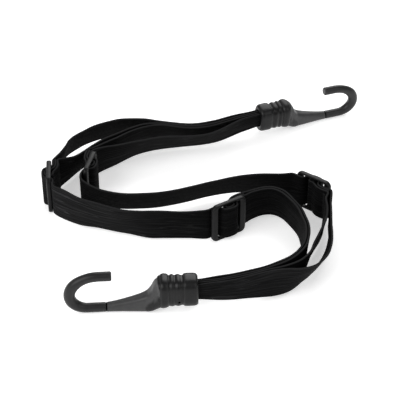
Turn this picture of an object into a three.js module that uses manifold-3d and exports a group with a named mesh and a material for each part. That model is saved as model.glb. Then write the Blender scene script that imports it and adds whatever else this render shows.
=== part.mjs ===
// Adjustable elastic strap with two hooks: two flat elastic bands side by side, four three-bar sliders,
// and one moulded hook with a ribbed collar at each end. Millimetres, +Z up, the bands stand on edge.
import * as THREE from "three";
import { mergeVertices } from "three/addons/utils/BufferGeometryUtils.js";
import Module from "manifold-3d";

const wasm = await Module();
wasm.setup();

// Webbing
const BAND_WIDTH = 25;
const BAND_THICK = 1.5;
const GATHERED_WIDTH = 12.4; // width squeezed together inside a collar
const CLEAR = 0.35; // gap between pieces that lie against each other
const PITCH = BAND_THICK + CLEAR; // from one layer of webbing to the next
const AXIS_HEIGHT = 15; // middle of every band above the floor
const STEPS_PER_STATION = 2;

// Sliders
const SLIDER_LENGTH = 28; // along the band
const SLIDER_HEIGHT = 2 * AXIS_HEIGHT; // across the band, standing on the floor
const SLIDER_THICK = 3.4;
const SIDE_BAR = 5;
const CENTRE_BAR = 3.4;
const SLOT_HEIGHT = BAND_WIDTH + 1.4;
const SLIDER_CORNER = 4;

// Hooks, measured along the hook's own axis from the mouth of its collar
const COLLAR_LENGTH = 24.5;
const COLLAR_BORE = { tall: 8.1, deep: 6.4 }; // half sizes
const COLLAR_BODY = { tall: 9.35, deep: 7.15, drop: 0.4 }; // half sizes at the grooves, thicker below
const COLLAR_BANDS = [ // sleeve, two rings and front bulge: start, end, swell over the grooves, rounding
  [0, 9.6, 0.65, 1], [10.3, 14.2, 0.5, 0.5], [15.2, 18.1, 0.5, 0.5], [18.9, COLLAR_LENGTH, 1.1, 1.5],
];
const VENT = { radius: 0.9, along: 12.4, across: 8, height: -4.6 }; // small hole low on the collar's front
const PIN_POSITION = 13.5;
const PIN_RADIUS = 1;
const PIN_HOLE_RADIUS = 1.35;
const LOOP_RADIUS = PIN_RADIUS + CLEAR + BAND_THICK / 2; // middle of the webbing round a pin
const PIN_OFFSET = LOOP_RADIUS + PITCH / 2; // one pin on each side of the axis
const CHEEK_START = 9;
const PLUG_START = 20;
const CHEEK_INSIDE = GATHERED_WIDTH / 2 + 0.4;
const ROD_RADIUS = 3.2;
const NOSE_SWELL = 0.6; // added radius at the middle of the bend
const ROD_DROP = AXIS_HEIGHT - ROD_RADIUS; // shank below the collar's axis, so that it lies on the floor
const ROD_START = 59.3;
const HOOK_LENGTH = 86.9;
const THROAT = 25.5; // between the centre lines of shank and tip
const LOWER_BEND = { reach: 11.5, rise: 10.5 };
const UPPER_BEND = { reach: 19.5, rise: THROAT - LOWER_BEND.rise };
const TIP_END = 55.4;
const ROD_STEPS = 32;
const SPIGOT_RADIUS = 1.8;
const SPIGOT_LENGTH = 9;
const FLANGE = [ // paddle's end at the collar: along, bottom, top and half depth
  [COLLAR_LENGTH + CLEAR, -10.4, 9.8, 7.8], [26.2, -12.8, 9, 7.2], [27.6, -14.4, 7.6, 6.5],
];
const PADDLE_EDGE = [ // upper edge from the flange to the rod: along, height and half depth
  [28.8, 5.6, 5.9], [30, 2.7, 5.5], [31.4, 0.6, 5.2], [33, -1.2, 4.9], [36, -2.9, 4.6], [40, -4.3, 4.3],
  [46, -5.9, 3.9], [53, -7.5, 3.5],
];

// The layout was measured about the middle of the picture. This puts the part's middle at the origin.
const SHIFT = { x: -6.3, y: 3.8 };

// Middle line of each stretch of webbing, from slider towards hook, or from rear to front slider:
// x, y, lean of the top edge to the right of travel in degrees, and the width where it is gathered.
const REAR_OUTER_RUN = [
  [-106.4, 15.5, 3], [-104.4, 21.5, 8], [-102.4, 31, 14], [-101.6, 39.5, 20], [-98.2, 48, 25],
  [-92, 56.1, 27], [-85.3, 62.9, 28], [-74.9, 69.6, 29], [-64.1, 74.6, 30], [-52.5, 76.4, 31],
  [-41.2, 76.1, 32], [-30, 73.6, 33], [-8, 70.2, 35], [8, 73.6, 30, 22.5], [20, 79.2, 22, 18.5],
  [31.5, 83.8, 14, 15.5],
];
const REAR_OUTER_TAIL = [
  [-99.4, 15.4, 10], [-94, 20, 19], [-88.9, 26.9, 22], [-83.8, 34.4, 23], [-76, 44.3, 25], [-65.8, 53.6, 28],
  [-55, 62.3, 30], [-44, 69, 32], [-29, 71.1, 34], [-8, 67.6, 35], [8, 70.2, 30, 22.5], [20, 76, 22, 18.5],
  [31.5, 81.4, 14, 15.5],
];
const REAR_INNER_TAIL = [
  [-81.5, 27.5, 8], [-75, 35, 14], [-66, 45, 22], [-56, 56, 27], [-44, 65, 32], [-29, 68.4, 34],
  [-8, 65, 35], [8, 67, 30, 22.5], [20, 72.9, 22, 18.5], [31.5, 79.1, 14, 15.5],
];
const REAR_INNER_RUN = [
  [-77.5, 26.5, 5], [-71.5, 31, 12], [-60, 37.5, 23], [-45, 46.5, 33], [-28, 52.5, 36], [-8, 55, 40],
  [4, 57.4, 38, 23], [14, 62.4, 30, 20.5], [24, 70.2, 20, 17.5], [33, 77.4, 13, 15],
];
const OUTER_MAIN = [
  [-97.3, -26.6, -3], [-85, -35.2, 2], [-72.2, -40.4, 9], [-61.9, -44.3, 12], [-52.2, -47.5, 13],
  [-41.7, -49.7, 8], [-33.7, -50.8, 4], [-24.3, -51.2, 5], [-15.3, -51.3, 6], [-7.5, -51.3, 5],
  [-1, -51.1, 2],
];
const INNER_MAIN = [
  [-84, -12.5, 5], [-77.5, -17, 15], [-68, -20.5, 25], [-55, -23, 29], [-46, -23.3, 30], [-26, -21, 30],
  [-7, -14.2, 30], [9, -7.6, 30], [25, -2.9, 28], [33, -1.5, 26], [42, -1.7, 21], [52, -3.5, 13], [60, -5.6, 5],
];
const FRONT_OUTER_RUN = [
  [36, -28.8, 2], [40.4, -26, 4], [44.2, -24.3, 5], [48.4, -23.6, 5], [52.3, -24.1, 5], [58, -28, 5],
  [64.6, -39.2, 4], [68.6, -48.2, 3], [70.2, -57, 1], [71.2, -66, -2], [70.4, -76, -5], [66.8, -88.4, -7],
  [58.2, -100.3, -6], [44.2, -108.4, -1, 21.5], [29, -113, 0, 18.5], [14, -115.8, 0, 16],
];
const FRONT_INNER_TAIL = [
  [87.6, -36, -2], [86.9, -46, -6], [84.7, -56, -11], [80.8, -66, -14], [77, -75.5, -15], [73.7, -85, -13],
  [70.4, -95, -12], [64.8, -103, -10], [57.9, -107.8, -7], [50.6, -111.1, -3, 23.5],
  [44.2, -112.9, 0, 21.5], [29.4, -117, 0, 18.5], [14.3, -119.5, 0, 16],
];
const FRONT_INNER_RUN = [
  [92.4, -30.8, 0], [91.2, -38.5, 0], [90.6, -48, 0], [89.9, -57, 0], [88.4, -66, -4], [86.4, -76, -12],
  [83.2, -86, -22], [78.7, -95.2, -29], [72.6, -103, -30], [65, -108.6, -22], [57, -111.6, -11],
  [50, -113.4, -4, 23.5], [44.3, -114.8, 0, 21.5], [29.7, -118.8, 0, 18.5], [14.5, -121.5, 0, 16],
];

// Places of the sliders and hooks: heading and yaw in degrees from +X, face is the side of the heading
// on which the webbing crosses the centre bar (1 left, -1 right), lean tips a hook to the right.
const SLIDERS = {
  outer_rear_slider: { x: -108.8, y: -5, heading: 95, face: 1 },
  inner_rear_slider: { x: -80, y: 7, heading: 79, face: -1 },
  outer_front_slider: { x: 19.8, y: -43.9, heading: 33, face: -1 },
  inner_front_slider: { x: 81.3, y: -14.2, heading: -38, face: 1 },
};
const HOOKS = {
  rear: { x: 45.6, y: 88, yaw: 21, lean: 10, outerSide: 1 },
  front: { x: -1.4, y: -119.8, yaw: 184, lean: 0, outerSide: -1 },
};

const WEBBING = new THREE.MeshStandardMaterial({ color: 0x17181a, roughness: 0.9 });
const MOULDED = new THREE.MeshStandardMaterial({ color: 0x3c3e41, roughness: 0.55 });
const STEEL = new THREE.MeshStandardMaterial({ color: 0x9a9da1, roughness: 0.35, metalness: 1 });

// Solids

function toManifold(geometry) {
  const bare = geometry.index ? geometry.toNonIndexed() : geometry.clone();
  bare.deleteAttribute("normal");
  bare.deleteAttribute("uv");
  const merged = mergeVertices(bare, 1e-4);
  return new wasm.Manifold(new wasm.Mesh({
    numProp: 3,
    vertProperties: new Float32Array(merged.attributes.position.array),
    triVerts: new Uint32Array(merged.index.array),
  }));
}

function toGeometry(solid) {
  const mesh = solid.getMesh();
  const geometry = new THREE.BufferGeometry();
  geometry.setAttribute("position", new THREE.BufferAttribute(new Float32Array(mesh.vertProperties), 3));
  geometry.setIndex(new THREE.BufferAttribute(new Uint32Array(mesh.triVerts), 1));
  geometry.computeVertexNormals();
  return geometry;
}

// A closed skin over a row of rings with the same number of points, capped at both ends.
function loft(rings) {
  const count = rings[0].length;
  const positions = rings.flat().flatMap((point) => [point.x, point.y, point.z]);
  const indices = [];
  for (let ring = 0; ring + 1 < rings.length; ring += 1) {
    for (let k = 0; k < count; k += 1) {
      const a = ring * count + k;
      const b = ring * count + ((k + 1) % count);
      indices.push(a, b, b + count, a, b + count, a + count);
    }
  }
  const last = (rings.length - 1) * count;
  for (let k = 1; k + 1 < count; k += 1) {
    indices.push(0, k + 1, k);
    indices.push(last, last + k, last + k + 1);
  }
  const geometry = new THREE.BufferGeometry();
  geometry.setAttribute("position", new THREE.Float32BufferAttribute(positions, 3));
  geometry.setIndex(indices);
  geometry.computeVertexNormals();
  return geometry;
}

// A rounded outline across the hook's axis: half sizes along Z and Y, squarer as the power rises.
function hookRing(along, height, tall, deep, power, points = 32) {
  const ring = [];
  for (let k = 0; k < points; k += 1) {
    const angle = (2 * Math.PI * k) / points;
    const round = (value) => Math.sign(value) * Math.abs(value) ** (2 / power);
    const across = deep * round(Math.cos(angle));
    ring.push(new THREE.Vector3(along, across, height + tall * round(Math.sin(angle))));
  }
  return ring;
}

// A round bar along the hook's axis.
function hookBar(radius, start, end, height) {
  const bar = new THREE.CylinderGeometry(radius, radius, end - start, 20);
  bar.rotateZ(-Math.PI / 2);
  bar.translate((start + end) / 2, 0, height);
  return bar;
}

// Webbing

function sliderPoint(slider, along, across) {
  const heading = THREE.MathUtils.degToRad(slider.heading);
  const c = Math.cos(heading);
  const s = Math.sin(heading);
  const x = slider.x + along * c - across * slider.face * s;
  const y = slider.y + along * s + across * slider.face * c;
  return new THREE.Vector3(x, y, AXIS_HEIGHT);
}

function hookMatrix(hook) {
  const turn = new THREE.Matrix4().makeRotationZ(THREE.MathUtils.degToRad(hook.yaw));
  const tip = new THREE.Matrix4().makeRotationX(THREE.MathUtils.degToRad(hook.lean));
  const place = new THREE.Matrix4().makeTranslation(hook.x, hook.y, AXIS_HEIGHT);
  return place.multiply(turn).multiply(tip);
}

function station(point, lean = 0, width = BAND_WIDTH) {
  return { point, lean, width };
}

function openRun(list) {
  return list.map(([x, y, lean, width]) => station(new THREE.Vector3(x, y, AXIS_HEIGHT), lean, width));
}

// The same stretch walked the other way.
function backwards(stations) {
  return stations.map(({ point, lean, width }) => station(point, -lean, width)).reverse();
}

// A layer that lies beside another one, at a distance to its left.
function beside(stations, distance) {
  return stations.map(({ point, lean, width }, index) => {
    const before = stations[Math.max(index - 1, 0)].point;
    const after = stations[Math.min(index + 1, stations.length - 1)].point;
    const travel = after.clone().sub(before).normalize();
    const left = new THREE.Vector3(-travel.y, travel.x, 0);
    return station(point.clone().addScaledVector(left, distance), lean, width);
  });
}

const HALF_BAR = SLIDER_THICK / 2;
const BEHIND = HALF_BAR + CLEAR + BAND_THICK / 2; // webbing against a bar
const OVER = BEHIND + PITCH; // webbing against the layer on a bar
const SLOT_EDGE = SLIDER_LENGTH / 2 - SIDE_BAR; // outer edge of a slot, from the slider's middle
const SLIDER_EXIT = SLIDER_LENGTH / 2 + 2; // where the webbing is clear of the slider

// Webbing through a slider, from its main side to its hook side: behind both side bars, over the centre bar.
function throughSlider(slider) {
  const half = [
    [SLIDER_EXIT, -BEHIND], [SLOT_EDGE + 1.4, -BEHIND], [SLOT_EDGE - 0.9, -BEHIND + 0.6],
    [SLOT_EDGE - 2.1, -0.6], [SLOT_EDGE - 2.8, 1.5], [SLOT_EDGE - 4, OVER - 1.1],
  ];
  const crown = [[-2.2, OVER - 0.1], [0, OVER], [2.2, OVER - 0.1]];
  const enter = half.map(([along, across]) => [-along, across]);
  const leave = half.slice().reverse();
  const points = [...enter, ...crown, ...leave];
  return points.map(([along, across]) => station(sliderPoint(slider, along, across)));
}

// The sewn end of a strap: from the hook side, round the centre bar and back on itself.
function sewnEnd(slider) {
  const tail = OVER + PITCH;
  const flatTail = [[SLIDER_EXIT, -tail], [SLOT_EDGE + 1.4, -tail]];
  const under = [[6.2, -OVER - 1.1], [3, -OVER + 0.7], [0.6, -BEHIND]];
  const turn = [[-1.2, -BEHIND], [-2.5, -2.3], [-2.95, 0], [-2.5, 2.3], [-1.2, BEHIND]];
  const over = [[0.6, BEHIND], [2.2, BEHIND - 0.3], [3.3, 1.6], [3.9, 0], [5.2, -2.7], [7.4, -OVER + 0.5]];
  const flat = [[SLOT_EDGE + 0.8, -OVER], [SLIDER_EXIT, -OVER]];
  const points = [...flatTail, ...under, ...turn, ...over, ...flat];
  return points.map(([along, across]) => station(sliderPoint(slider, along, across)));
}

// Webbing round one cross pin of a hook: in along one layer, round the pin, out along the next layer.
function roundPin(hook, side, outerFirst) {
  const matrix = hookMatrix(hook);
  const pin = side * PIN_OFFSET;
  const first = outerFirst ? side : -side;
  const layer = (sign) => (sign === side ? 1.5 : 0.5) * side * PITCH;
  const bend = 0.72 * LOOP_RADIUS;
  const points = [
    [0, layer(first), -1], [5, layer(first) * 0.6 + (pin + first * LOOP_RADIUS) * 0.4, -1],
    [PIN_POSITION - 3, pin + first * LOOP_RADIUS, -1], [PIN_POSITION, pin + first * LOOP_RADIUS, -1],
    [PIN_POSITION + bend, pin + first * bend, -0.7], [PIN_POSITION + LOOP_RADIUS, pin, 0],
    [PIN_POSITION + bend, pin - first * bend, 0.7], [PIN_POSITION, pin - first * LOOP_RADIUS, 1],
    [PIN_POSITION - 3, pin - first * LOOP_RADIUS, 1],
    [5, layer(-first) * 0.6 + (pin - first * LOOP_RADIUS) * 0.4, 1], [0, layer(-first), 1],
  ];
  return points.map(([along, across, turned]) => {
    const point = new THREE.Vector3(along, across, 0).applyMatrix4(matrix);
    return station(point, -turned * hook.lean, GATHERED_WIDTH);
  });
}

// A solid band swept through its stations, with the width across the travel and the given lean.
function band(stations) {
  const path = new THREE.CatmullRomCurve3(stations.map((s) => s.point), false, "centripetal");
  const shape = new THREE.CatmullRomCurve3(stations.map((s) => new THREE.Vector3(s.lean, s.width, 0)));
  const count = (stations.length - 1) * STEPS_PER_STATION;
  const up = new THREE.Vector3(0, 0, 1);
  const rings = [];
  for (let k = 0; k <= count; k += 1) {
    const middle = path.getPoint(k / count);
    const { x: lean, y: width } = shape.getPoint(k / count);
    const travel = path.getTangent(k / count);
    const right = travel.clone().cross(up).normalize();
    const above = right.clone().cross(travel).normalize();
    const tilt = THREE.MathUtils.degToRad(lean);
    const across = above.clone().multiplyScalar(Math.cos(tilt)).addScaledVector(right, Math.sin(tilt));
    const face = right.clone().multiplyScalar(Math.cos(tilt)).addScaledVector(above, -Math.sin(tilt));
    across.multiplyScalar(width / 2);
    face.multiplyScalar(BAND_THICK / 2);
    rings.push([
      middle.clone().add(across).sub(face), middle.clone().add(across).add(face),
      middle.clone().sub(across).add(face), middle.clone().sub(across).sub(face),
    ]);
  }
  return loft(rings);
}

function strap(names, routes, hookSides) {
  const [rearSlider, frontSlider] = names.map((name) => SLIDERS[name]);
  const { rearRun, rearTail, main, frontRun, frontTail } = routes;
  return band([
    ...backwards(sewnEnd(rearSlider)),
    ...rearTail,
    ...roundPin(HOOKS.rear, hookSides.rear, hookSides.rearTailOutside),
    ...backwards(rearRun),
    ...backwards(throughSlider(rearSlider)),
    ...main,
    ...throughSlider(frontSlider),
    ...frontRun,
    ...roundPin(HOOKS.front, hookSides.front, hookSides.frontRunOutside),
    ...backwards(frontTail),
    ...sewnEnd(frontSlider),
  ]);
}

function outerStrap() {
  const frontRun = openRun(FRONT_OUTER_RUN);
  const routes = {
    rearRun: openRun(REAR_OUTER_RUN),
    rearTail: openRun(REAR_OUTER_TAIL),
    main: openRun(OUTER_MAIN),
    frontRun,
    frontTail: beside(frontRun, PITCH + 0.2).slice(1),
  };
  const sides = { rear: HOOKS.rear.outerSide, rearTailOutside: false };
  const frontSides = { front: HOOKS.front.outerSide, frontRunOutside: true };
  return strap(["outer_rear_slider", "outer_front_slider"], routes, { ...sides, ...frontSides });
}

function innerStrap() {
  const routes = {
    rearRun: openRun(REAR_INNER_RUN),
    rearTail: openRun(REAR_INNER_TAIL),
    main: openRun(INNER_MAIN),
    frontRun: openRun(FRONT_INNER_RUN),
    frontTail: openRun(FRONT_INNER_TAIL),
  };
  const sides = { rear: -HOOKS.rear.outerSide, rearTailOutside: false };
  const frontSides = { front: -HOOKS.front.outerSide, frontRunOutside: true };
  return strap(["inner_rear_slider", "inner_front_slider"], routes, { ...sides, ...frontSides });
}

// Sliders

function roundedRectangle(path, left, bottom, width, height, radius) {
  const right = left + width;
  const top = bottom + height;
  path.moveTo(left + radius, bottom);
  path.lineTo(right - radius, bottom);
  path.absarc(right - radius, bottom + radius, radius, -Math.PI / 2, 0);
  path.lineTo(right, top - radius);
  path.absarc(right - radius, top - radius, radius, 0, Math.PI / 2);
  path.lineTo(left + radius, top);
  path.absarc(left + radius, top - radius, radius, Math.PI / 2, Math.PI);
  path.lineTo(left, bottom + radius);
  path.absarc(left + radius, bottom + radius, radius, Math.PI, 1.5 * Math.PI);
  return path;
}

function sliderPlate(slider) {
  const halfLength = SLIDER_LENGTH / 2;
  const outline = new THREE.Shape();
  roundedRectangle(outline, -halfLength, 0, SLIDER_LENGTH, SLIDER_HEIGHT, SLIDER_CORNER);
  const slotWidth = halfLength - SIDE_BAR - CENTRE_BAR / 2;
  const slotBottom = (SLIDER_HEIGHT - SLOT_HEIGHT) / 2;
  for (const left of [-halfLength + SIDE_BAR, CENTRE_BAR / 2]) {
    outline.holes.push(roundedRectangle(new THREE.Path(), left, slotBottom, slotWidth, SLOT_HEIGHT, 0.8));
  }
  const sizes = { depth: SLIDER_THICK, bevelEnabled: false, curveSegments: 2 };
  const plate = new THREE.ExtrudeGeometry(outline, sizes);
  plate.translate(0, 0, -HALF_BAR);
  plate.rotateX(Math.PI / 2);
  plate.rotateZ(THREE.MathUtils.degToRad(slider.heading));
  plate.translate(slider.x, slider.y, 0);
  return toGeometry(toManifold(plate));
}

// Hooks

// A quarter of an oval from one point of the rod's middle line to another, leaving flat or upright.
function quarterBend(start, end, leavesFlat) {
  const flat = start.clone().setX(start.x + 0.5523 * (end.x - start.x));
  const upright = start.clone().setZ(start.z + 0.5523 * (end.z - start.z));
  const arriveUpright = end.clone().setZ(end.z - 0.5523 * (end.z - start.z));
  const arriveFlat = end.clone().setX(end.x - 0.5523 * (end.x - start.x));
  const handles = leavesFlat ? [flat, arriveUpright] : [upright, arriveFlat];
  return new THREE.CubicBezierCurve3(start, ...handles, end);
}

// J of moulded rod, wider towards its tip and stouter at its nose, with a spigot into the paddle.
function hookRod() {
  const low = -ROD_DROP;
  const nose = HOOK_LENGTH - ROD_RADIUS - NOSE_SWELL;
  const at = (along, height) => new THREE.Vector3(along, 0, height);
  const shankEnd = at(nose - LOWER_BEND.reach, low);
  const outermost = at(nose, low + LOWER_BEND.rise);
  const tipStart = at(nose - UPPER_BEND.reach, low + THROAT);
  const path = new THREE.CurvePath();
  path.add(new THREE.LineCurve3(at(ROD_START, low), shankEnd));
  path.add(quarterBend(shankEnd, outermost, true));
  path.add(quarterBend(outermost, tipStart, false));
  path.add(new THREE.LineCurve3(tipStart, at(TIP_END, low + THROAT)));
  const rings = [];
  for (let k = 0; k <= ROD_STEPS; k += 1) {
    const middle = path.getPoint(k / ROD_STEPS);
    const travel = path.getTangent(k / ROD_STEPS);
    const bend = Math.sin(Math.PI * Math.min(Math.max((middle.x - shankEnd.x) / LOWER_BEND.reach, 0), 1) / 2);
    const radius = ROD_RADIUS + NOSE_SWELL * bend * bend;
    rings.push(hookRing(0, 0, radius, radius, 2, 16).map((point) => new THREE.Vector3(
      middle.x - travel.z * point.z, point.y, middle.z + travel.x * point.z,
    )));
  }
  const rod = loft(rings);
  const spigot = hookBar(SPIGOT_RADIUS, ROD_START - SPIGOT_LENGTH, ROD_START + 1, low);
  return toManifold(rod).add(toManifold(spigot));
}

// Paddle that widens from the rod to the collar.
function paddle() {
  const lowered = PADDLE_EDGE.map(([along, top, deep]) => [along, -AXIS_HEIGHT, top, deep]);
  const rings = [...FLANGE, ...lowered].map(([along, bottom, top, deep]) => (
    hookRing(along, (top + bottom) / 2, (top - bottom) / 2, deep, 2.6)
  ));
  rings.push(hookRing(ROD_START - CLEAR, -ROD_DROP, ROD_RADIUS, ROD_RADIUS, 2));
  return toManifold(loft(rings));
}

// Plug and two cheeks inside the collar, with the holes for the cross pins.
function yoke() {
  const tall = COLLAR_BORE.tall - CLEAR;
  const deep = COLLAR_BORE.deep - CLEAR;
  const stem = loft([hookRing(CHEEK_START, 0, tall, deep, 5), hookRing(COLLAR_LENGTH + 1, 0, tall, deep, 5)]);
  const room = new THREE.BoxGeometry(2 * (PLUG_START - CHEEK_START), 4 * deep, 2 * CHEEK_INSIDE);
  room.translate(CHEEK_START, 0, 0);
  let solid = toManifold(stem).subtract(toManifold(room));
  for (const side of [-1, 1]) {
    const hole = new THREE.CylinderGeometry(PIN_HOLE_RADIUS, PIN_HOLE_RADIUS, 4 * tall, 20);
    hole.rotateX(Math.PI / 2);
    hole.translate(PIN_POSITION, side * PIN_OFFSET, 0);
    solid = solid.subtract(toManifold(hole));
  }
  return solid;
}

function hookBody() {
  const bore = hookBar(SPIGOT_RADIUS + CLEAR, ROD_START - SPIGOT_LENGTH - CLEAR, ROD_START + 1, -ROD_DROP);
  return paddle().add(yoke()).subtract(toManifold(bore));
}

// Ribbed sleeve with a plain bore: each band rises from the groove size with rounded edges.
function collar() {
  const { tall, deep, drop } = COLLAR_BODY;
  const profile = COLLAR_BANDS.flatMap(([start, end, swell, round]) => [
    [start, 0], [start + 0.3 * round, 0.7 * swell], [start + round, swell],
    [end - round, swell], [end - 0.3 * round, 0.7 * swell], [end, 0],
  ]);
  const skin = loft(profile.map(([along, swell]) => hookRing(along, -drop, tall + swell, deep + swell, 5)));
  const ends = [-1, COLLAR_LENGTH + 1];
  const bore = loft(ends.map((along) => hookRing(along, 0, COLLAR_BORE.tall, COLLAR_BORE.deep, 6)));
  const vent = new THREE.CylinderGeometry(VENT.radius, VENT.radius, 8, 16);
  vent.translate(VENT.along, VENT.across, VENT.height);
  return toManifold(skin).subtract(toManifold(bore)).subtract(toManifold(vent));
}

function crossPin(offset) {
  const reach = COLLAR_BORE.tall - 2 * CLEAR;
  const pin = new THREE.CylinderGeometry(PIN_RADIUS, PIN_RADIUS, 2 * reach, 20);
  pin.rotateX(Math.PI / 2);
  pin.translate(PIN_POSITION, offset, 0);
  return pin;
}

// Assembly

const assembly = new THREE.Group();
assembly.name = "elastic_strap_with_hooks";

function addPiece(name, geometry, material) {
  geometry.translate(SHIFT.x, SHIFT.y, 0);
  const mesh = new THREE.Mesh(geometry, material);
  mesh.name = name;
  assembly.add(mesh);
}

function addHook(end) {
  const hook = HOOKS[end];
  const matrix = hookMatrix(hook);
  const place = (geometry) => geometry.applyMatrix4(matrix);
  addPiece(`${end}_hook_rod`, place(toGeometry(hookRod())), MOULDED);
  addPiece(`${end}_hook_body`, place(toGeometry(hookBody())), MOULDED);
  addPiece(`${end}_collar`, place(toGeometry(collar())), MOULDED);
  addPiece(`${end}_outer_pin`, place(crossPin(hook.outerSide * PIN_OFFSET)), STEEL);
  addPiece(`${end}_inner_pin`, place(crossPin(-hook.outerSide * PIN_OFFSET)), STEEL);
}

addPiece("outer_strap", outerStrap(), WEBBING);
addPiece("inner_strap", innerStrap(), WEBBING);
for (const [name, slider] of Object.entries(SLIDERS)) {
  addPiece(name, sliderPlate(slider), MOULDED);
}
addHook("rear");
addHook("front");

export default assembly;
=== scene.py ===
"""Studio scene of an adjustable elastic strap: two flat bands, four sliders and two moulded hooks.

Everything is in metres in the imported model's frame, +Z up. The bands stand on edge on a pale floor.
"""

import logging
import math
from dataclasses import dataclass
from enum import Enum
from typing import Sequence

import bmesh
import bpy
import numpy as np
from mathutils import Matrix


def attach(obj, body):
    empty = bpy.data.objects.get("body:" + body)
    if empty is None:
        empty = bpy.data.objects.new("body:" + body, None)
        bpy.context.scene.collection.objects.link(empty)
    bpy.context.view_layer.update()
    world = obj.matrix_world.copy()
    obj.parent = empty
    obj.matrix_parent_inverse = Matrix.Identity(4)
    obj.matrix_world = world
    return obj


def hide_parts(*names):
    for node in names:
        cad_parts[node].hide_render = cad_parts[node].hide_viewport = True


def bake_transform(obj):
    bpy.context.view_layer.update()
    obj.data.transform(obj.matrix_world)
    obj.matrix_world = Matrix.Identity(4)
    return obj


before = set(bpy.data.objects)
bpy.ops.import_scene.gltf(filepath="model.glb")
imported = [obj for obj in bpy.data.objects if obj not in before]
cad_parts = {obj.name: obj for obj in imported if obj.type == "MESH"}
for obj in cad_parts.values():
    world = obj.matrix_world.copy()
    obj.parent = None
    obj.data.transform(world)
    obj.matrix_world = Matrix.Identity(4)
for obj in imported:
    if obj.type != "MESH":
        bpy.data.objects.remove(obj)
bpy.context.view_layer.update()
LOG = logging.getLogger("elastic_strap")

Array = np.ndarray
Pair = tuple[float, float]
Triple = tuple[float, float, float]
Colour = tuple[float, float, float, float]
Piece = bpy.types.Object
Material = bpy.types.Material
Tree = bpy.types.NodeTree
Node = bpy.types.Node
Outputs = bpy.types.NodeOutputs
Socket = bpy.types.NodeSocket
Strip = tuple[Socket, Socket, Socket]
MM = 0.001
SHARP = math.radians(42)
CIRCLE = 2.0
SAME_PLACE = 1e-6
SHORTEST_EDGE = 0.001 * MM

# Webbing
BAND_WIDTH = 0.025
BAND_THICK = 0.0015
GATHERED_WIDTH = 0.0124
CLEAR = 0.00035
PITCH = BAND_THICK + CLEAR
LAYER_PLAY = 0.0002
AXIS_HEIGHT = 0.015
RING_STEP = 0.0014
CORDS = 12

# The photographed layout is moved by this much to put its middle at the origin.
SHIFT = np.array([-0.0063, 0.0038])

# Middle line of each stretch of webbing, from slider towards hook, or from rear to front slider:
# x, y, lean of the top edge to the right of travel in degrees, and the width where it is gathered.
REAR_OUTER_RUN = (
    (-0.1064, 0.0155, 3), (-0.1044, 0.0215, 8), (-0.1024, 0.0310, 14), (-0.1016, 0.0395, 20),
    (-0.0982, 0.0480, 25), (-0.0920, 0.0561, 27), (-0.0853, 0.0629, 28), (-0.0749, 0.0696, 29),
    (-0.0641, 0.0746, 30), (-0.0525, 0.0764, 31), (-0.0412, 0.0761, 32), (-0.0300, 0.0736, 33),
    (-0.0080, 0.0702, 35), (0.0080, 0.0736, 30, 0.0225), (0.0200, 0.0792, 22, 0.0185),
    (0.0315, 0.0838, 14, 0.0155),
)
REAR_OUTER_TAIL = (
    (-0.0994, 0.0154, 10), (-0.0940, 0.0200, 19), (-0.0889, 0.0269, 22), (-0.0838, 0.0344, 23),
    (-0.0760, 0.0443, 25), (-0.0658, 0.0536, 28), (-0.0550, 0.0623, 30), (-0.0440, 0.0690, 32),
    (-0.0290, 0.0711, 34), (-0.0080, 0.0676, 35), (0.0080, 0.0702, 30, 0.0225),
    (0.0200, 0.0760, 22, 0.0185), (0.0315, 0.0814, 14, 0.0155),
)
REAR_INNER_TAIL = (
    (-0.0815, 0.0275, 8), (-0.0750, 0.0350, 14), (-0.0660, 0.0450, 22), (-0.0560, 0.0560, 27),
    (-0.0440, 0.0650, 32), (-0.0290, 0.0684, 34), (-0.0080, 0.0650, 35), (0.0080, 0.0670, 30, 0.0225),
    (0.0200, 0.0729, 22, 0.0185), (0.0315, 0.0791, 14, 0.0155),
)
REAR_INNER_RUN = (
    (-0.0775, 0.0265, 5), (-0.0715, 0.0310, 12), (-0.0600, 0.0375, 23), (-0.0450, 0.0465, 33),
    (-0.0280, 0.0525, 36), (-0.0080, 0.0550, 40), (0.0040, 0.0574, 38, 0.0230),
    (0.0140, 0.0624, 30, 0.0205), (0.0240, 0.0702, 20, 0.0175), (0.0330, 0.0774, 13, 0.0150),
)
OUTER_MAIN = (
    (-0.0973, -0.0266, -3), (-0.0850, -0.0352, 2), (-0.0722, -0.0404, 9), (-0.0619, -0.0443, 12),
    (-0.0522, -0.0475, 13), (-0.0417, -0.0497, 8), (-0.0337, -0.0508, 4), (-0.0243, -0.0512, 5),
    (-0.0153, -0.0513, 6), (-0.0075, -0.0513, 5), (-0.0010, -0.0511, 2),
)
INNER_MAIN = (
    (-0.0840, -0.0125, 5), (-0.0775, -0.0170, 15), (-0.0680, -0.0205, 25), (-0.0550, -0.0230, 29),
    (-0.0460, -0.0233, 30), (-0.0260, -0.0210, 30), (-0.0070, -0.0142, 30), (0.0090, -0.0076, 30),
    (0.0250, -0.0029, 28), (0.0330, -0.0015, 26), (0.0420, -0.0017, 21), (0.0520, -0.0035, 13),
    (0.0600, -0.0056, 5),
)
FRONT_OUTER_RUN = (
    (0.0360, -0.0288, 2), (0.0404, -0.0260, 4), (0.0442, -0.0243, 5), (0.0484, -0.0236, 5),
    (0.0523, -0.0241, 5), (0.0580, -0.0280, 5), (0.0646, -0.0392, 4), (0.0686, -0.0482, 3),
    (0.0702, -0.0570, 1), (0.0712, -0.0660, -2), (0.0704, -0.0760, -5), (0.0668, -0.0884, -7),
    (0.0582, -0.1003, -6), (0.0442, -0.1084, -1, 0.0215), (0.0290, -0.1130, 0, 0.0185),
    (0.0140, -0.1158, 0, 0.0160),
)
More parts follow.
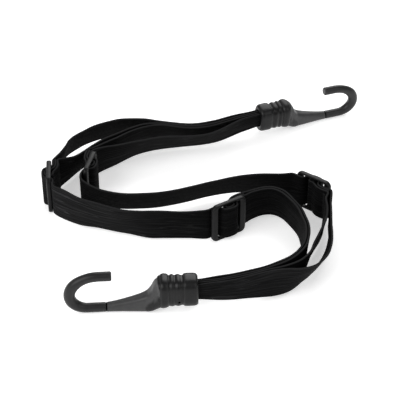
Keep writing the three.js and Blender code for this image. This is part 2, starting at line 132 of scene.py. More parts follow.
FRONT_INNER_TAIL = (
    (0.0876, -0.0360, -2), (0.0869, -0.0460, -6), (0.0847, -0.0560, -11), (0.0808, -0.0660, -14),
    (0.0770, -0.0755, -15), (0.0737, -0.0850, -13), (0.0704, -0.0950, -12), (0.0648, -0.1030, -10),
    (0.0579, -0.1078, -7), (0.0506, -0.1111, -3, 0.0235), (0.0442, -0.1129, 0, 0.0215),
    (0.0294, -0.1170, 0, 0.0185), (0.0143, -0.1195, 0, 0.0160),
)
FRONT_INNER_RUN = (
    (0.0924, -0.0308, 0), (0.0912, -0.0385, 0), (0.0906, -0.0480, 0), (0.0899, -0.0570, 0),
    (0.0884, -0.0660, -4), (0.0864, -0.0760, -12), (0.0832, -0.0860, -22), (0.0787, -0.0952, -29),
    (0.0726, -0.1030, -30), (0.0650, -0.1086, -22), (0.0570, -0.1116, -11),
    (0.0500, -0.1134, -4, 0.0235), (0.0443, -0.1148, 0, 0.0215), (0.0297, -0.1188, 0, 0.0185),
    (0.0145, -0.1215, 0, 0.0160),
)

# Slow waves along a band, in its own plane: size, length over two pi, and phase.
BAND_WANDER = ((1.0, 0.0083, 0.0), (0.7, 0.0037, 1.9))
BAND_PINCH = ((1.0, 0.0061, 0.6),)

# How much paler each band is painted where it is turned to the light: distance from its rear end, and 0 for
# none to 1 for pale.
OUTER_LIT_PALING = (
    (0.0, 0.3), (0.40, 0.3), (0.48, 0.7), (0.50, 0.95), (0.545, 0.9), (0.585, 0.2), (0.62, 0.05),
    (1.09, 0.1),
)
INNER_LIT_PALING = (
    (0.0, 0.25), (0.20, 0.35), (0.33, 0.35), (0.40, 0.15), (0.58, 0.05), (0.68, 0.2), (0.72, 0.5),
    (0.78, 0.5), (0.80, 0.3), (1.01, 0.15),
)

# Ribs of a collar: distance from its mouth, and half size over its plain size.
COLLAR_RIBS = (
    (0.0, -0.00075), (0.00035, -0.0002), (0.0010, 0.00035), (0.0020, 0.00072), (0.0035, 0.00085),
    (0.0080, 0.00085), (0.0089, 0.0006), (0.0098, -0.0002), (0.0108, -0.0002), (0.0120, 0.0003),
    (0.0130, 0.0005), (0.0140, 0.00025), (0.0150, -0.00005), (0.0160, 0.00035), (0.0169, 0.00065),
    (0.0178, 0.0004), (0.0187, 0.00005), (0.0196, 0.0007), (0.0207, 0.0011), (0.0219, 0.00122),
    (0.0230, 0.00115), (0.0240, 0.0008), (0.0246, 0.0004), (0.0249, 0.0001),
)


class End(Enum):
    """The two ends of the strap."""

    REAR = "rear"
    FRONT = "front"


class Closing(Enum):
    """How the first and the last ring of a skin are closed."""

    FAN = "one face over each"
    STRIP = "a row of quads over each"
    LOOP = "joined to each other"


class Join(Enum):
    """What a second solid does to a piece."""

    ADD = "UNION"
    CUT = "DIFFERENCE"


# Shapes

def catmull_rom(points: Array, where: Array) -> tuple[Array, Array]:
    """Curve through points: each span is a cubic whose knots are a root of the distance apart.

    Args:
        points: Rows of control points, in any number of dimensions.
        where: Places on the curve, counted in points from the first one.

    Returns:
        The points of the curve and its slopes there.
    """
    first = 2 * points[:1] - points[1:2]
    last = 2 * points[-1:] - points[-2:-1]
    reach = np.concatenate([first, points, last])
    span = np.clip(np.floor(where).astype(int), 0, len(points) - 2)
    t = (where - span)[:, None]
    a, b, c, d = (reach[span + k] for k in range(4))
    knots = [np.sqrt(np.linalg.norm(q - p, axis=1, keepdims=True)) for p, q in ((a, b), (b, c), (c, d))]
    middle = np.where(knots[1] < SAME_PLACE, 1.0, knots[1])
    before = np.where(knots[0] < SAME_PLACE, middle, knots[0])
    after = np.where(knots[2] < SAME_PLACE, middle, knots[2])
    leave = middle * ((b - a) / before - (c - a) / (before + middle) + (c - b) / middle)
    arrive = middle * ((c - b) / middle - (d - b) / (middle + after) + (d - c) / after)
    square = 3 * (c - b) - 2 * leave - arrive
    cube = 2 * (b - c) + leave + arrive
    return b + t * (leave + t * (square + t * cube)), leave + t * (2 * square + 3 * t * cube)


def unit(vectors: Array) -> Array:
    """The same vectors at length one."""
    return vectors / np.linalg.norm(vectors, axis=-1, keepdims=True)


def running_length(points: Array) -> Array:
    """Distance along a line of points, from the first one to each of them."""
    return np.concatenate([[0], np.cumsum(np.linalg.norm(np.diff(points, axis=0), axis=1))])


def grid(*coordinates: Array | float) -> Array:
    """Points whose coordinates are spread over one common grid, in the last axis."""
    return np.stack(np.broadcast_arrays(*coordinates), axis=-1)


def smoothstep(value: Array, low: float, high: float) -> Array:
    """Rises from 0 at low to 1 at high with flat ends."""
    t = np.clip((value - low) / (high - low), 0.0, 1.0)
    return t * t * (3.0 - 2.0 * t)


def waves(run: Array, rows: Sequence[Triple]) -> Array:
    """A sum of sines of the distance: each row gives size, length over two pi, and phase."""
    return sum(size * np.sin(run / length + phase) for size, length, phase in rows)


def superellipse(count: int, power: Array | float) -> tuple[Array, Array]:
    """A rounded square as two arrays: the powered cosine and sine of evenly spaced angles.

    Args:
        count: Points round the outline.
        power: 2 is a circle, and higher is squarer.

    Returns:
        Both coordinates, each from -1 to 1.
    """
    angle = 2 * np.pi * np.arange(count) / count
    cosine, sine = np.cos(angle), np.sin(angle)
    return np.sign(cosine) * np.abs(cosine) ** (2 / power), np.sign(sine) * np.abs(sine) ** (2 / power)


def skin_faces(rows: int, columns: int, closing: Closing) -> list[list[int]]:
    """Faces over a grid of closed rings: a quad between each two neighbours on each two rings.

    Args:
        rows: Number of rings.
        columns: Points on a ring.
        closing: How the first and the last ring are closed.

    Returns:
        Lists of vertex numbers.
    """
    row = np.arange(rows if closing is Closing.LOOP else rows - 1)[:, None]
    column = np.arange(columns)[None, :]
    here, above = row * columns, ((row + 1) % rows) * columns
    side = (column + 1) % columns
    quads = np.stack([here + column, here + side, above + side, above + column], axis=-1)
    faces = quads.reshape(-1, 4).tolist()
    top = (rows - 1) * columns
    if closing is Closing.FAN:
        faces.append(list(range(columns - 1, -1, -1)))
        faces.append(list(range(top, top + columns)))
    if closing is Closing.STRIP:
        k = np.arange(columns // 2 - 1)
        mirror = columns - 1 - k
        faces.extend(np.stack([k + 1, k, mirror, mirror - 1], axis=-1).tolist())
        faces.extend((top + np.stack([k, k + 1, mirror - 1, mirror], axis=-1)).tolist())
    return faces


def signed_volume(points: Array, faces: list[list[int]]) -> float:
    """Volume inside the quads: a sum of tetrahedra with one corner at the origin.

    Args:
        points: Rows of vertices.
        faces: Lists of vertex numbers.

    Returns:
        The volume, negative where the faces point inwards.
    """
    quads = np.array([face for face in faces if len(face) == 4])
    a, b, c, d = (points[quads[:, k]] for k in range(4))
    return float((np.cross(a, b) * c).sum() + (np.cross(a, c) * d).sum()) / 6.0


def add_object(name: str, data: bpy.types.ID) -> bpy.types.Object:
    """A new object at the origin of the scene.

    Args:
        name: Its name.
        data: Its mesh, camera or light.

    Returns:
        The object.
    """
    made = bpy.data.objects.new(name, data)
    bpy.context.scene.collection.objects.link(made)
    return made


def make_piece(
    name: str,
    rings: Array,
    material: Material,
    closing: Closing = Closing.FAN,
    uv: Array | None = None,
    rim: Array | float = 0.0,
) -> Piece:
    """An object whose mesh is a skin over rings of points, facing out.

    Args:
        name: Name of the piece.
        rings: Array of rings by points by three.
        material: Its finish.
        closing: How the first and the last ring are closed.
        uv: Two values for each point, for patterns that follow the surface.
        rim: How much paler the points are painted, 0 for not at all, for each point, ring or place on a
            ring: wear, and on the webbing and the paddle painted light.

    Returns:
        The object, at the origin.
    """
    rows, columns = rings.shape[:2]
    points = rings.reshape(-1, 3)
    faces = skin_faces(rows, columns, closing)
    if signed_volume(points, faces) < 0:
        faces = [face[::-1] for face in faces]
    mesh = bpy.data.meshes.new(name)
    mesh.from_pydata(points.tolist(), [], faces)
    if uv is not None:
        corner = np.empty(len(mesh.loops), dtype=np.int32)
        mesh.loops.foreach_get("vertex_index", corner)
        layer = mesh.uv_layers.new(name="UVMap")
        layer.data.foreach_set("uv", uv.reshape(-1, 2)[corner].astype(np.float32).ravel())
    worn = np.broadcast_to(rim, (rows, columns)).astype(np.float32).ravel()
    mesh.attributes.new("rim", "FLOAT", "POINT").data.foreach_set("value", worn)
    mesh.shade_smooth()
    mesh.set_sharp_from_angle(angle=SHARP)
    mesh.materials.append(material)
    return add_object(name, mesh)


def combine(piece: Piece, tool: Piece, join: Join) -> None:
    """Joins a second solid to a piece, or cuts it away, and drops the second solid.

    Args:
        piece: The piece that is changed.
        tool: The solid that is added or taken away.
        join: Which of the two.
    """
    step = piece.modifiers.new("combine", "BOOLEAN")
    step.object = tool
    step.operation = join.value
    step.solver = "EXACT"
    graph = bpy.context.evaluated_depsgraph_get()
    mesh = bpy.data.meshes.new_from_object(piece.evaluated_get(graph))
    piece.modifiers.clear()
    old = piece.data
    piece.data = mesh
    bpy.data.meshes.remove(old)
    bpy.data.objects.remove(tool)
    clean = bmesh.new()
    clean.from_mesh(mesh)
    bmesh.ops.triangulate(clean, faces=[face for face in clean.faces if len(face.verts) > 4])
    bmesh.ops.dissolve_degenerate(clean, dist=SHORTEST_EDGE, edges=clean.edges)
    clean.to_mesh(mesh)
    clean.free()
    mesh.set_sharp_from_angle(angle=SHARP)


def hand_over(piece: Piece, body: str, slot: str, *nodes: str) -> Piece:
    """Lets a piece move with a body and stand for some solids.

    Args:
        piece: The piece.
        body: The body that carries it.
        slot: Not used.
        nodes: The solids that it replaces, if any.

    Returns:
        The same piece.
    """
    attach(piece, body)
    if nodes:
        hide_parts(*nodes)
    return piece


# Shader helpers

class Nodes:
    """Short calls for building one node tree. A value may be a number, a colour or a socket to link."""

    def __init__(self, tree: Tree) -> None:
        """Keeps the tree that the calls add to."""
        self.tree = tree

    def fill(self, node: Node, inputs: dict) -> None:
        """Sets or links some inputs of a node.

        Args:
            node: The node.
            inputs: A value for each input's name or number.
        """
        for key, value in inputs.items():
            if isinstance(value, Socket):
                self.tree.links.new(value, node.inputs[key])
            else:
                node.inputs[key].default_value = value

    def add(self, kind: str, inputs: dict | None = None, **settings: object) -> Node:
        """A new node.

        Args:
            kind: Its type.
            inputs: A value for each input's name or number.
            settings: Its properties.

        Returns:
            The node.
        """
        node = self.tree.nodes.new(kind)
        for key, value in settings.items():
            setattr(node, key, value)
        self.fill(node, inputs or {})
        return node

    def math(self, operation: str, *values: object) -> Socket:
        """A Math node's result."""
        return self.add("ShaderNodeMath", dict(enumerate(values)), operation=operation).outputs[0]

    def times(self, first: object, second: object) -> Socket:
        """The product of two values."""
        return self.math("MULTIPLY", first, second)

    def rest(self, value: object) -> Socket:
        """What is missing to 1."""
        return self.math("SUBTRACT", 1.0, value)

    def away(self, value: object, middle: float) -> Socket:
        """Distance of a value from a middle."""
        return self.math("ABSOLUTE", self.math("SUBTRACT", value, middle))

    def between(self, share: object, ends: Pair) -> Socket:
        """A value between two ends, in proportion to a share from 0 to 1."""
        return self.math("MULTIPLY_ADD", share, ends[1] - ends[0], ends[0])

    def step(self, value: object, ends: Pair) -> Socket:
        """Rises smoothly from 0 at the first end to 1 at the second."""
        inputs = {"Value": value, "From Min": ends[0], "From Max": ends[1]}
        return self.add("ShaderNodeMapRange", inputs, interpolation_type="SMOOTHSTEP").outputs["Result"]

    def mix(self, share: object, first: object, second: object) -> Socket:
        """A colour between two others."""
        return self.add("ShaderNodeMix", {0: share, 6: first, 7: second}, data_type="RGBA").outputs[2]

    def noise(self, vector: object, scale: object, detail: float) -> Socket:
        """A noise value round one half."""
        inputs = {"Vector": vector, "Scale": scale, "Detail": detail}
        return self.add("ShaderNodeTexNoise", inputs).outputs["Fac"]

    def drawn_noise(self, vector: object, scale: Triple, detail: float) -> Socket:
        """A noise value that is stretched by its own scale in each direction."""
        drawn = self.add("ShaderNodeMapping", {"Vector": vector, "Scale": scale}).outputs["Vector"]
        return self.noise(drawn, 1.0, detail)

    def bump(self, height: object, strength: float, distance: float) -> Socket:
        """A Bump node's normal for a height from 0 to 1."""
        inputs = {"Height": height, "Strength": strength, "Distance": distance}
        return self.add("ShaderNodeBump", inputs).outputs["Normal"]

    def group(self, tree: Tree, **values: object) -> Node:
        """A placed node group; spaces in its inputs' names are written as underscores."""
        inputs = {key.replace("_", " "): value for key, value in values.items()}
        return self.add("ShaderNodeGroup", inputs, node_tree=tree)

    def rim(self) -> Socket:
        """How much paler the piece is painted, from its mesh: wear, and on the webbing and the paddle
        painted light.
        """
        return self.add("ShaderNodeAttribute", attribute_name="rim").outputs["Fac"]

    def place(self) -> Socket:
        """The piece's own coordinates in metres."""
        return self.add("ShaderNodeTexCoord").outputs["Object"]

    def strip(self) -> Strip:
        """The piece's UV map whole, and its two values apart.

        Returns:
            The map, its first and its second value.
        """
        uv = self.add("ShaderNodeUVMap", uv_map="UVMap").outputs["UV"]
        parts = self.add("ShaderNodeSeparateXYZ", {0: uv}).outputs
        return uv, parts["X"], parts["Y"]


def new_group(name: str, inputs: Sequence[str], outputs: Sequence[str]) -> tuple[Nodes, Outputs, Node]:
    """An empty shader group that takes a vector and some values, and puts out values.

    Args:
        name: Name of the group.
        inputs: Names of the values that it takes beside Vector.
        outputs: Names of the values that it puts out.

    Returns:
        The group's builder, the sockets that come in, and the node that takes what goes out.
    """
    tree = bpy.data.node_groups.new(name, "ShaderNodeTree")
    tree.interface.new_socket(name="Vector", in_out="INPUT", socket_type="NodeSocketVector")
    for way, keys in (("INPUT", inputs), ("OUTPUT", outputs)):
        for key in keys:
            tree.interface.new_socket(name=key, in_out=way, socket_type="NodeSocketFloat")
    nodes = Nodes(tree)
    return nodes, nodes.add("NodeGroupInput").outputs, nodes.add("NodeGroupOutput")


@dataclass(frozen=True)
class GrainEffect:
    """Fine moulded grain: a mottled tone and a height from two sizes of noise."""

    fine_detail: float = 4.0
    broad_detail: float = 3.0
    fine_share: float = 0.3

    def group(self) -> Tree:
        """The group: the tone mixes both noises, and the height is the fine one.

        Returns:
            The node group.
        """
        nodes, enter, leave = new_group("fine_grain", ("Fine Scale", "Broad Scale"), ("Tone", "Height"))
        fine = nodes.noise(enter["Vector"], enter["Fine Scale"], self.fine_detail)
        broad = nodes.noise(enter["Vector"], enter["Broad Scale"], self.broad_detail)
        tone = nodes.math("MULTIPLY_ADD", broad, 1 - self.fine_share, nodes.times(fine, self.fine_share))
        nodes.fill(leave, {"Tone": tone, "Height": fine})
        return nodes.tree


@dataclass(frozen=True)
class WearEffect:
    """Rubbed edges, and the painted sheen and highlight on the paddle: the rim attribute broken up by
    noise, as a mask.
    """

    scale: float = 420.0
    detail: float = 4.0
    patches: Pair = (0.35, 0.70)
    strength: Pair = (0.80, 0.94)

    def group(self) -> Tree:
        """The group: the product of rim, amount and a patchy strength.

        Returns:
            The node group.
        """
        nodes, enter, leave = new_group("rubbed_edges_and_sheen", ("Rim", "Amount"), ("Mask",))
        patches = nodes.step(nodes.noise(enter["Vector"], self.scale, self.detail), self.patches)
        worn = nodes.times(enter["Rim"], nodes.between(patches, self.strength))
        nodes.fill(leave, {"Mask": nodes.times(worn, enter["Amount"])})
        return nodes.tree


@dataclass(frozen=True)
class SharedEffects:
    """The node groups that several finishes place."""

    grain: Tree
    wear: Tree

    def grained(self, nodes: Nodes, vector: Socket, scales: Pair) -> Outputs:
        """What a placed grain group puts out, for a fine and a broad scale."""
        fine, broad = scales
        return nodes.group(self.grain, Vector=vector, Fine_Scale=fine, Broad_Scale=broad).outputs


def new_material(name: str) -> tuple[Material, Nodes, Node]:
    """An empty node material with its Principled shader.

    Args:
        name: Name of the material.

    Returns:
        The material, its builder and the shader node.
    """
    material = bpy.data.materials.new(name)
    material.use_nodes = True
    material.node_tree.nodes.clear()
    nodes = Nodes(material.node_tree)
    shader = nodes.add("ShaderNodeBsdfPrincipled")
    nodes.add("ShaderNodeOutputMaterial", {"Surface": shader.outputs["BSDF"]})
    return material, nodes, shader


# Finishes

def grey(level: float, blue: float) -> Colour:
    """A grey whose blue is set apart, because black plastic and elastic look a little cool."""
    return level, level, blue, 1.0


@dataclass(frozen=True)
class WebbingFinish:
    """Black woven elastic: rubber cords under crosswise picks and streaks, with painted light: paler
    stretches where the band is turned to the light, pale creases and dark hollows of folds, dark valleys
    between the cords, and bound edges paler partly as a painted highlight.

    Its pattern lies on the piece's own UV map: across the band from 0 to 1, then along it in band widths.
    """

    dark: Colour = grey(0.0012, 0.0013)
    light: Colour = grey(0.0330, 0.0338)
    # The bound edges are painted paler: their own yarn, and a painted highlight along the edges.
    edge: Colour = grey(0.0200, 0.0205)
    edge_sheen_range: Pair = (0.472, 0.496)
    cords: int = CORDS
    picks: float = 26.0
    weave_share: float = 0.05
    drift_scale: Triple = (0.0, 0.5, 1.0)
    wander: float = 0.5
    streak_scale: Triple = (26.0, 0.45, 1.0)
    streak_range: Pair = (0.40, 0.80)
    streak_tone: Pair = (0.2, 0.8)
    fold_scale: Triple = (6.0, 0.25, 1.0)
    # Pale crease lines are painted highlights along the folds' ridges; dark hollow lines are painted shade
    # in the folds.
    crease_highlight_level: float = 0.5
    crease_highlight_range: Pair = (0.0, 0.022)
    crease_highlight_tone: Pair = (0.15, 1.0)
    hollow_shade_level: float = 0.46
    hollow_shade_range: Pair = (0.0, 0.016)
    hollow_shade_tone: Pair = (0.3, 1.0)
    rib_scale: Triple = (0.5, 0.4, 1.0)
    rib_range: Pair = (0.44, 0.60)
    # The valleys between the cords are kept darker as painted shade.
    valley_shade_tone: Pair = (0.25, 0.85)
    spot_scales: Pair = (60.0, 1.4)
    spot_range: Pair = (0.36, 0.64)
    spot_tone: Pair = (0.4, 1.0)
    # How much paler the webbing is painted where the rim attribute marks it as turned to the light.
    lit_paling: float = 0.22
    crest_share: float = 0.6
    bump: Pair = (0.55, 0.00012)
    roughness: Pair = (0.66, 0.78)
    shine: float = 0.022
    sheen: float = 0.003
    sheen_roughness: float = 0.45

    def woven(self, nodes: Nodes, strip: Strip) -> tuple[Socket, Socket]:
        """The cords and the picks: the size of a sine across, and a sine along that flips at each cord.

        Args:
            nodes: The material's builder.
            strip: Place on the band.

        Returns:
            How high the cords and the weave stand, from 0 to 1.
        """
        _, across, along = strip
        cord = nodes.math("SINE", nodes.times(across, self.cords * math.pi))
        pick = nodes.math("SINE", nodes.times(along, self.picks * 2 * math.pi))
        weave = nodes.times(pick, nodes.math("SIGN", cord))
        return nodes.math("ABSOLUTE", cord), nodes.math("MULTIPLY_ADD", weave, 0.5, 0.5)

    def drawn(self, nodes: Nodes, strip: Strip) -> tuple[Socket, Socket]:
        """Noise drawn out along the band, on lines that wander across it.

        Args:
            nodes: The material's builder.
            strip: Place on the band.

        Returns:
            Fine streaks and slow folds, both round one half.
        """
        uv, across, along = strip
        drift = nodes.drawn_noise(uv, self.drift_scale, 2.0)
        moved = nodes.math("MULTIPLY_ADD", drift, self.wander, across)
        flow = nodes.add("ShaderNodeCombineXYZ", {"X": moved, "Y": along}).outputs[0]
        streak = nodes.drawn_noise(flow, self.streak_scale, 2.0)
        fold = nodes.drawn_noise(flow, self.fold_scale, 1.5)
        return streak, fold

    def tone(self, nodes: Nodes, strip: Strip, crest: Socket, spots: Socket) -> Socket:
        """How pale the elastic is between its dark and its light colour.

        Streaks show between the valleys of the cords, which are kept dark as painted shade, and grow where
        the band is painted paler as painted light.
        Creases, where the folds cross one level, are painted highlights at least as pale, and hollows,
        where they cross another, are dark as painted shade.

        Args:
            nodes: The material's builder.
            strip: Place on the band.
            crest: How high the cords stand.
            spots: Uneven tone that breaks the painted paling up.

        Returns:
            The tone, from 0 to about 1.
        """
        streak, fold = self.drawn(nodes, strip)
        ribbed = nodes.step(nodes.drawn_noise(strip[0], self.rib_scale, 1.0), self.rib_range)
        # Painted shade: streaks fade in the valleys between the cords.
        valley_shade = nodes.times(nodes.rest(crest), nodes.between(ribbed, self.valley_shade_tone))
        # On the webbing the rim attribute is painted light: paler where the band is turned to the light.
        worn = nodes.rim()
        lit_patches = nodes.times(worn, nodes.between(nodes.step(spots, self.spot_range), self.spot_tone))
        streaked = nodes.times(nodes.step(streak, self.streak_range), nodes.rest(valley_shade))
        streaked = nodes.times(streaked, nodes.between(lit_patches, self.streak_tone))
        # Painted highlight along the folds' ridges, and further on painted shade in their hollows.
        crease = nodes.rest(nodes.step(nodes.away(fold, self.crease_highlight_level), self.crease_highlight_range))
        crease_highlight = nodes.times(crease, nodes.between(lit_patches, self.crease_highlight_tone))
        pale = nodes.math("MULTIPLY_ADD", worn, self.lit_paling, nodes.math("MAXIMUM", streaked, crease_highlight))
        hollow_shade = nodes.step(nodes.away(fold, self.hollow_shade_level), self.hollow_shade_range)
        return nodes.times(pale, nodes.between(hollow_shade, self.hollow_shade_tone))

    def material(self, effects: SharedEffects) -> Material:
        """The webbing's material.

        Args:
            effects: The shared node groups.

        Returns:
            The material.
        """
        material, nodes, shader = new_material("elastic_webbing")
        strip = nodes.strip()
        uv, across, _ = strip
        crest, weave = self.woven(nodes, strip)
        spots = effects.grained(nodes, uv, self.spot_scales)["Tone"]
        tone = nodes.times(self.tone(nodes, strip, crest, spots), 1 - self.weave_share)
        body = nodes.mix(nodes.math("MULTIPLY_ADD", weave, self.weave_share, tone), self.dark, self.light)
        # Painted highlight along the bound edges, over their own paler yarn.
        bound = nodes.step(nodes.away(across, 0.5), self.edge_sheen_range)
        cords, picks = nodes.times(crest, self.crest_share), nodes.times(weave, 1 - self.crest_share)
        nodes.fill(shader, {
            "Base Color": nodes.mix(bound, body, self.edge),
            "Roughness": nodes.between(weave, self.roughness),
            "Normal": nodes.bump(nodes.math("ADD", cords, picks), *self.bump),
            "Specular IOR Level": self.shine,
            "Sheen Weight": self.sheen,
            "Sheen Roughness": self.sheen_roughness,
        })
        return material


@dataclass(frozen=True)
class MouldedFinish:
    """Charcoal moulded plastic: satin, with fine grain, and paler where it is rubbed, and where the rim
    attribute paints a sheen and a highlight on the paddle.
    """

    name: str
    dark: Colour = grey(0.0052, 0.0054)
    light: Colour = grey(0.0092, 0.0095)
    # Paler colour for rubbed wear, and for the painted sheen and highlight on the paddle.
    wear_and_sheen: Colour = grey(0.1200, 0.1215)
    shine: float = 0.22
    wear: float = 0.7
    grain_scales: Pair = (2600.0, 150.0)
    mottle: Pair = (0.3, 0.7)
    roughness: Pair = (0.30, 0.40)
    rubbed_rougher: float = 0.12
    bump: Pair = (0.25, 0.00006)

    def material(self, effects: SharedEffects) -> Material:
        """The moulded material, on Object coordinates.

        Args:
            effects: The shared node groups.

        Returns:
            The material.
        """
        material, nodes, shader = new_material(self.name)
        place = nodes.place()
        grain = effects.grained(nodes, place, self.grain_scales)
        worn = nodes.group(effects.wear, Vector=place, Rim=nodes.rim(), Amount=self.wear).outputs["Mask"]
        tone = nodes.step(grain["Tone"], self.mottle)
        rough = nodes.between(tone, self.roughness)
        nodes.fill(shader, {
            "Base Color": nodes.mix(worn, nodes.mix(tone, self.dark, self.light), self.wear_and_sheen),
            "Roughness": nodes.math("MULTIPLY_ADD", worn, self.rubbed_rougher, rough),
            "Normal": nodes.bump(grain["Height"], *self.bump),
            "Specular IOR Level": self.shine,
        })
        return material


@dataclass(frozen=True)
class ThreadFinish:
    """Twisted black sewing thread. Its UV map runs along it in millimetres, then round it from 0 to 1."""

    dark: Colour = grey(0.004, 0.0042)
    light: Colour = grey(0.022, 0.0225)
    twist_along: float = 2.0
    twist_round: float = 9.0
    fuzz_scales: Pair = (40.0, 6.0)
    bump: Pair = (0.6, 0.00008)
    roughness: float = 0.7
    shine: float = 0.2

    def material(self, effects: SharedEffects) -> Material:
        """The thread's material: its twist is a slanted sine wave.

        Args:
            effects: The shared node groups.

        Returns:
            The material.
        """
        material, nodes, shader = new_material("sewing_thread")
        uv, along, around = nodes.strip()
        slant = nodes.math("MULTIPLY_ADD", around, self.twist_round, nodes.times(along, self.twist_along))
        ply = nodes.math("MULTIPLY_ADD", nodes.math("SINE", nodes.times(slant, math.pi)), 0.5, 0.5)
        fuzz = effects.grained(nodes, uv, self.fuzz_scales)["Tone"]
        nodes.fill(shader, {
            "Base Color": nodes.mix(nodes.times(ply, fuzz), self.dark, self.light),
            "Roughness": self.roughness,
            "Normal": nodes.bump(ply, *self.bump),
            "Specular IOR Level": self.shine,
        })
        return material


@dataclass(frozen=True)
class SteelFinish:
    """Plain drawn steel of the cross pins."""

    dark: Colour = grey(0.30, 0.31)
    light: Colour = grey(0.52, 0.53)
    line_scale: float = 3800.0
    line_length: float = 0.03
    grain_scales: Pair = (1800.0, 240.0)
    grain_lift: float = 0.4
    roughness: Pair = (0.28, 0.48)

    def material(self, effects: SharedEffects) -> Material:
        """The pins' material, with draw lines along their length.

        Args:
            effects: The shared node groups.

        Returns:
            The material.
        """
        material, nodes, shader = new_material("drawn_steel")
        place = nodes.place()
        drawn = nodes.add("ShaderNodeMapping", {"Vector": place, "Scale": (1.0, 1.0, self.line_length)})
        lines = nodes.noise(drawn.outputs["Vector"], self.line_scale, 2.0)
        grain = effects.grained(nodes, place, self.grain_scales)["Tone"]
        tone = nodes.times(lines, nodes.math("ADD", grain, self.grain_lift))
        nodes.fill(shader, {
            "Base Color": nodes.mix(tone, self.dark, self.light),
            "Roughness": nodes.between(lines, self.roughness),
            "Metallic": 1.0,
        })
        return material


@dataclass(frozen=True)
class FloorFinish:
    """Matt white paper of the studio floor, lit a little from below."""

    colour: Colour = grey(0.90, 0.90)
    glow: float = 0.55
    roughness: float = 0.9
    shine: float = 0.1

    def material(self) -> Material:
        """The floor's material.

        Returns:
            The material.
        """
        material, nodes, shader = new_material("studio_paper")
        nodes.fill(shader, {
            "Base Color": self.colour,
            "Roughness": self.roughness,
            "Specular IOR Level": self.shine,
            "Emission Color": self.colour,
            "Emission Strength": self.glow,
        })
        return material


@dataclass(frozen=True)
class Palette:
    """The finished materials that the sub-assemblies share."""

    webbing: Material
    hook: Material
    slider: Material
    groove_shade: Material
    thread: Material
    steel: Material
    floor: Material


def make_palette() -> Palette:
    """Builds every finish once.

    Returns:
        The finished materials.
    """
    effects = SharedEffects(grain=GrainEffect().group(), wear=WearEffect().group())
    hook = MouldedFinish("satin_charcoal")
    slider = MouldedFinish(
        "slider_charcoal",
        dark=grey(0.003, 0.0031),
        light=grey(0.0055, 0.0057),
        wear_and_sheen=grey(0.018, 0.0185),
        shine=0.14,
    )
    # Near-black and almost without shine: painted shade in the groove where the rod enters the paddle.
    groove_shade = MouldedFinish(
        "groove_shade_black",
        dark=grey(0.0006, 0.0006),
        light=grey(0.001, 0.001),
        wear_and_sheen=grey(0.002, 0.002),
        shine=0.02,
    )
    return Palette(
        webbing=WebbingFinish().material(effects),
        hook=hook.material(effects),
        slider=slider.material(effects),
        groove_shade=groove_shade.material(effects),
        thread=ThreadFinish().material(effects),
        steel=SteelFinish().material(effects),
        floor=FloorFinish().material(),
    )


# Sliders

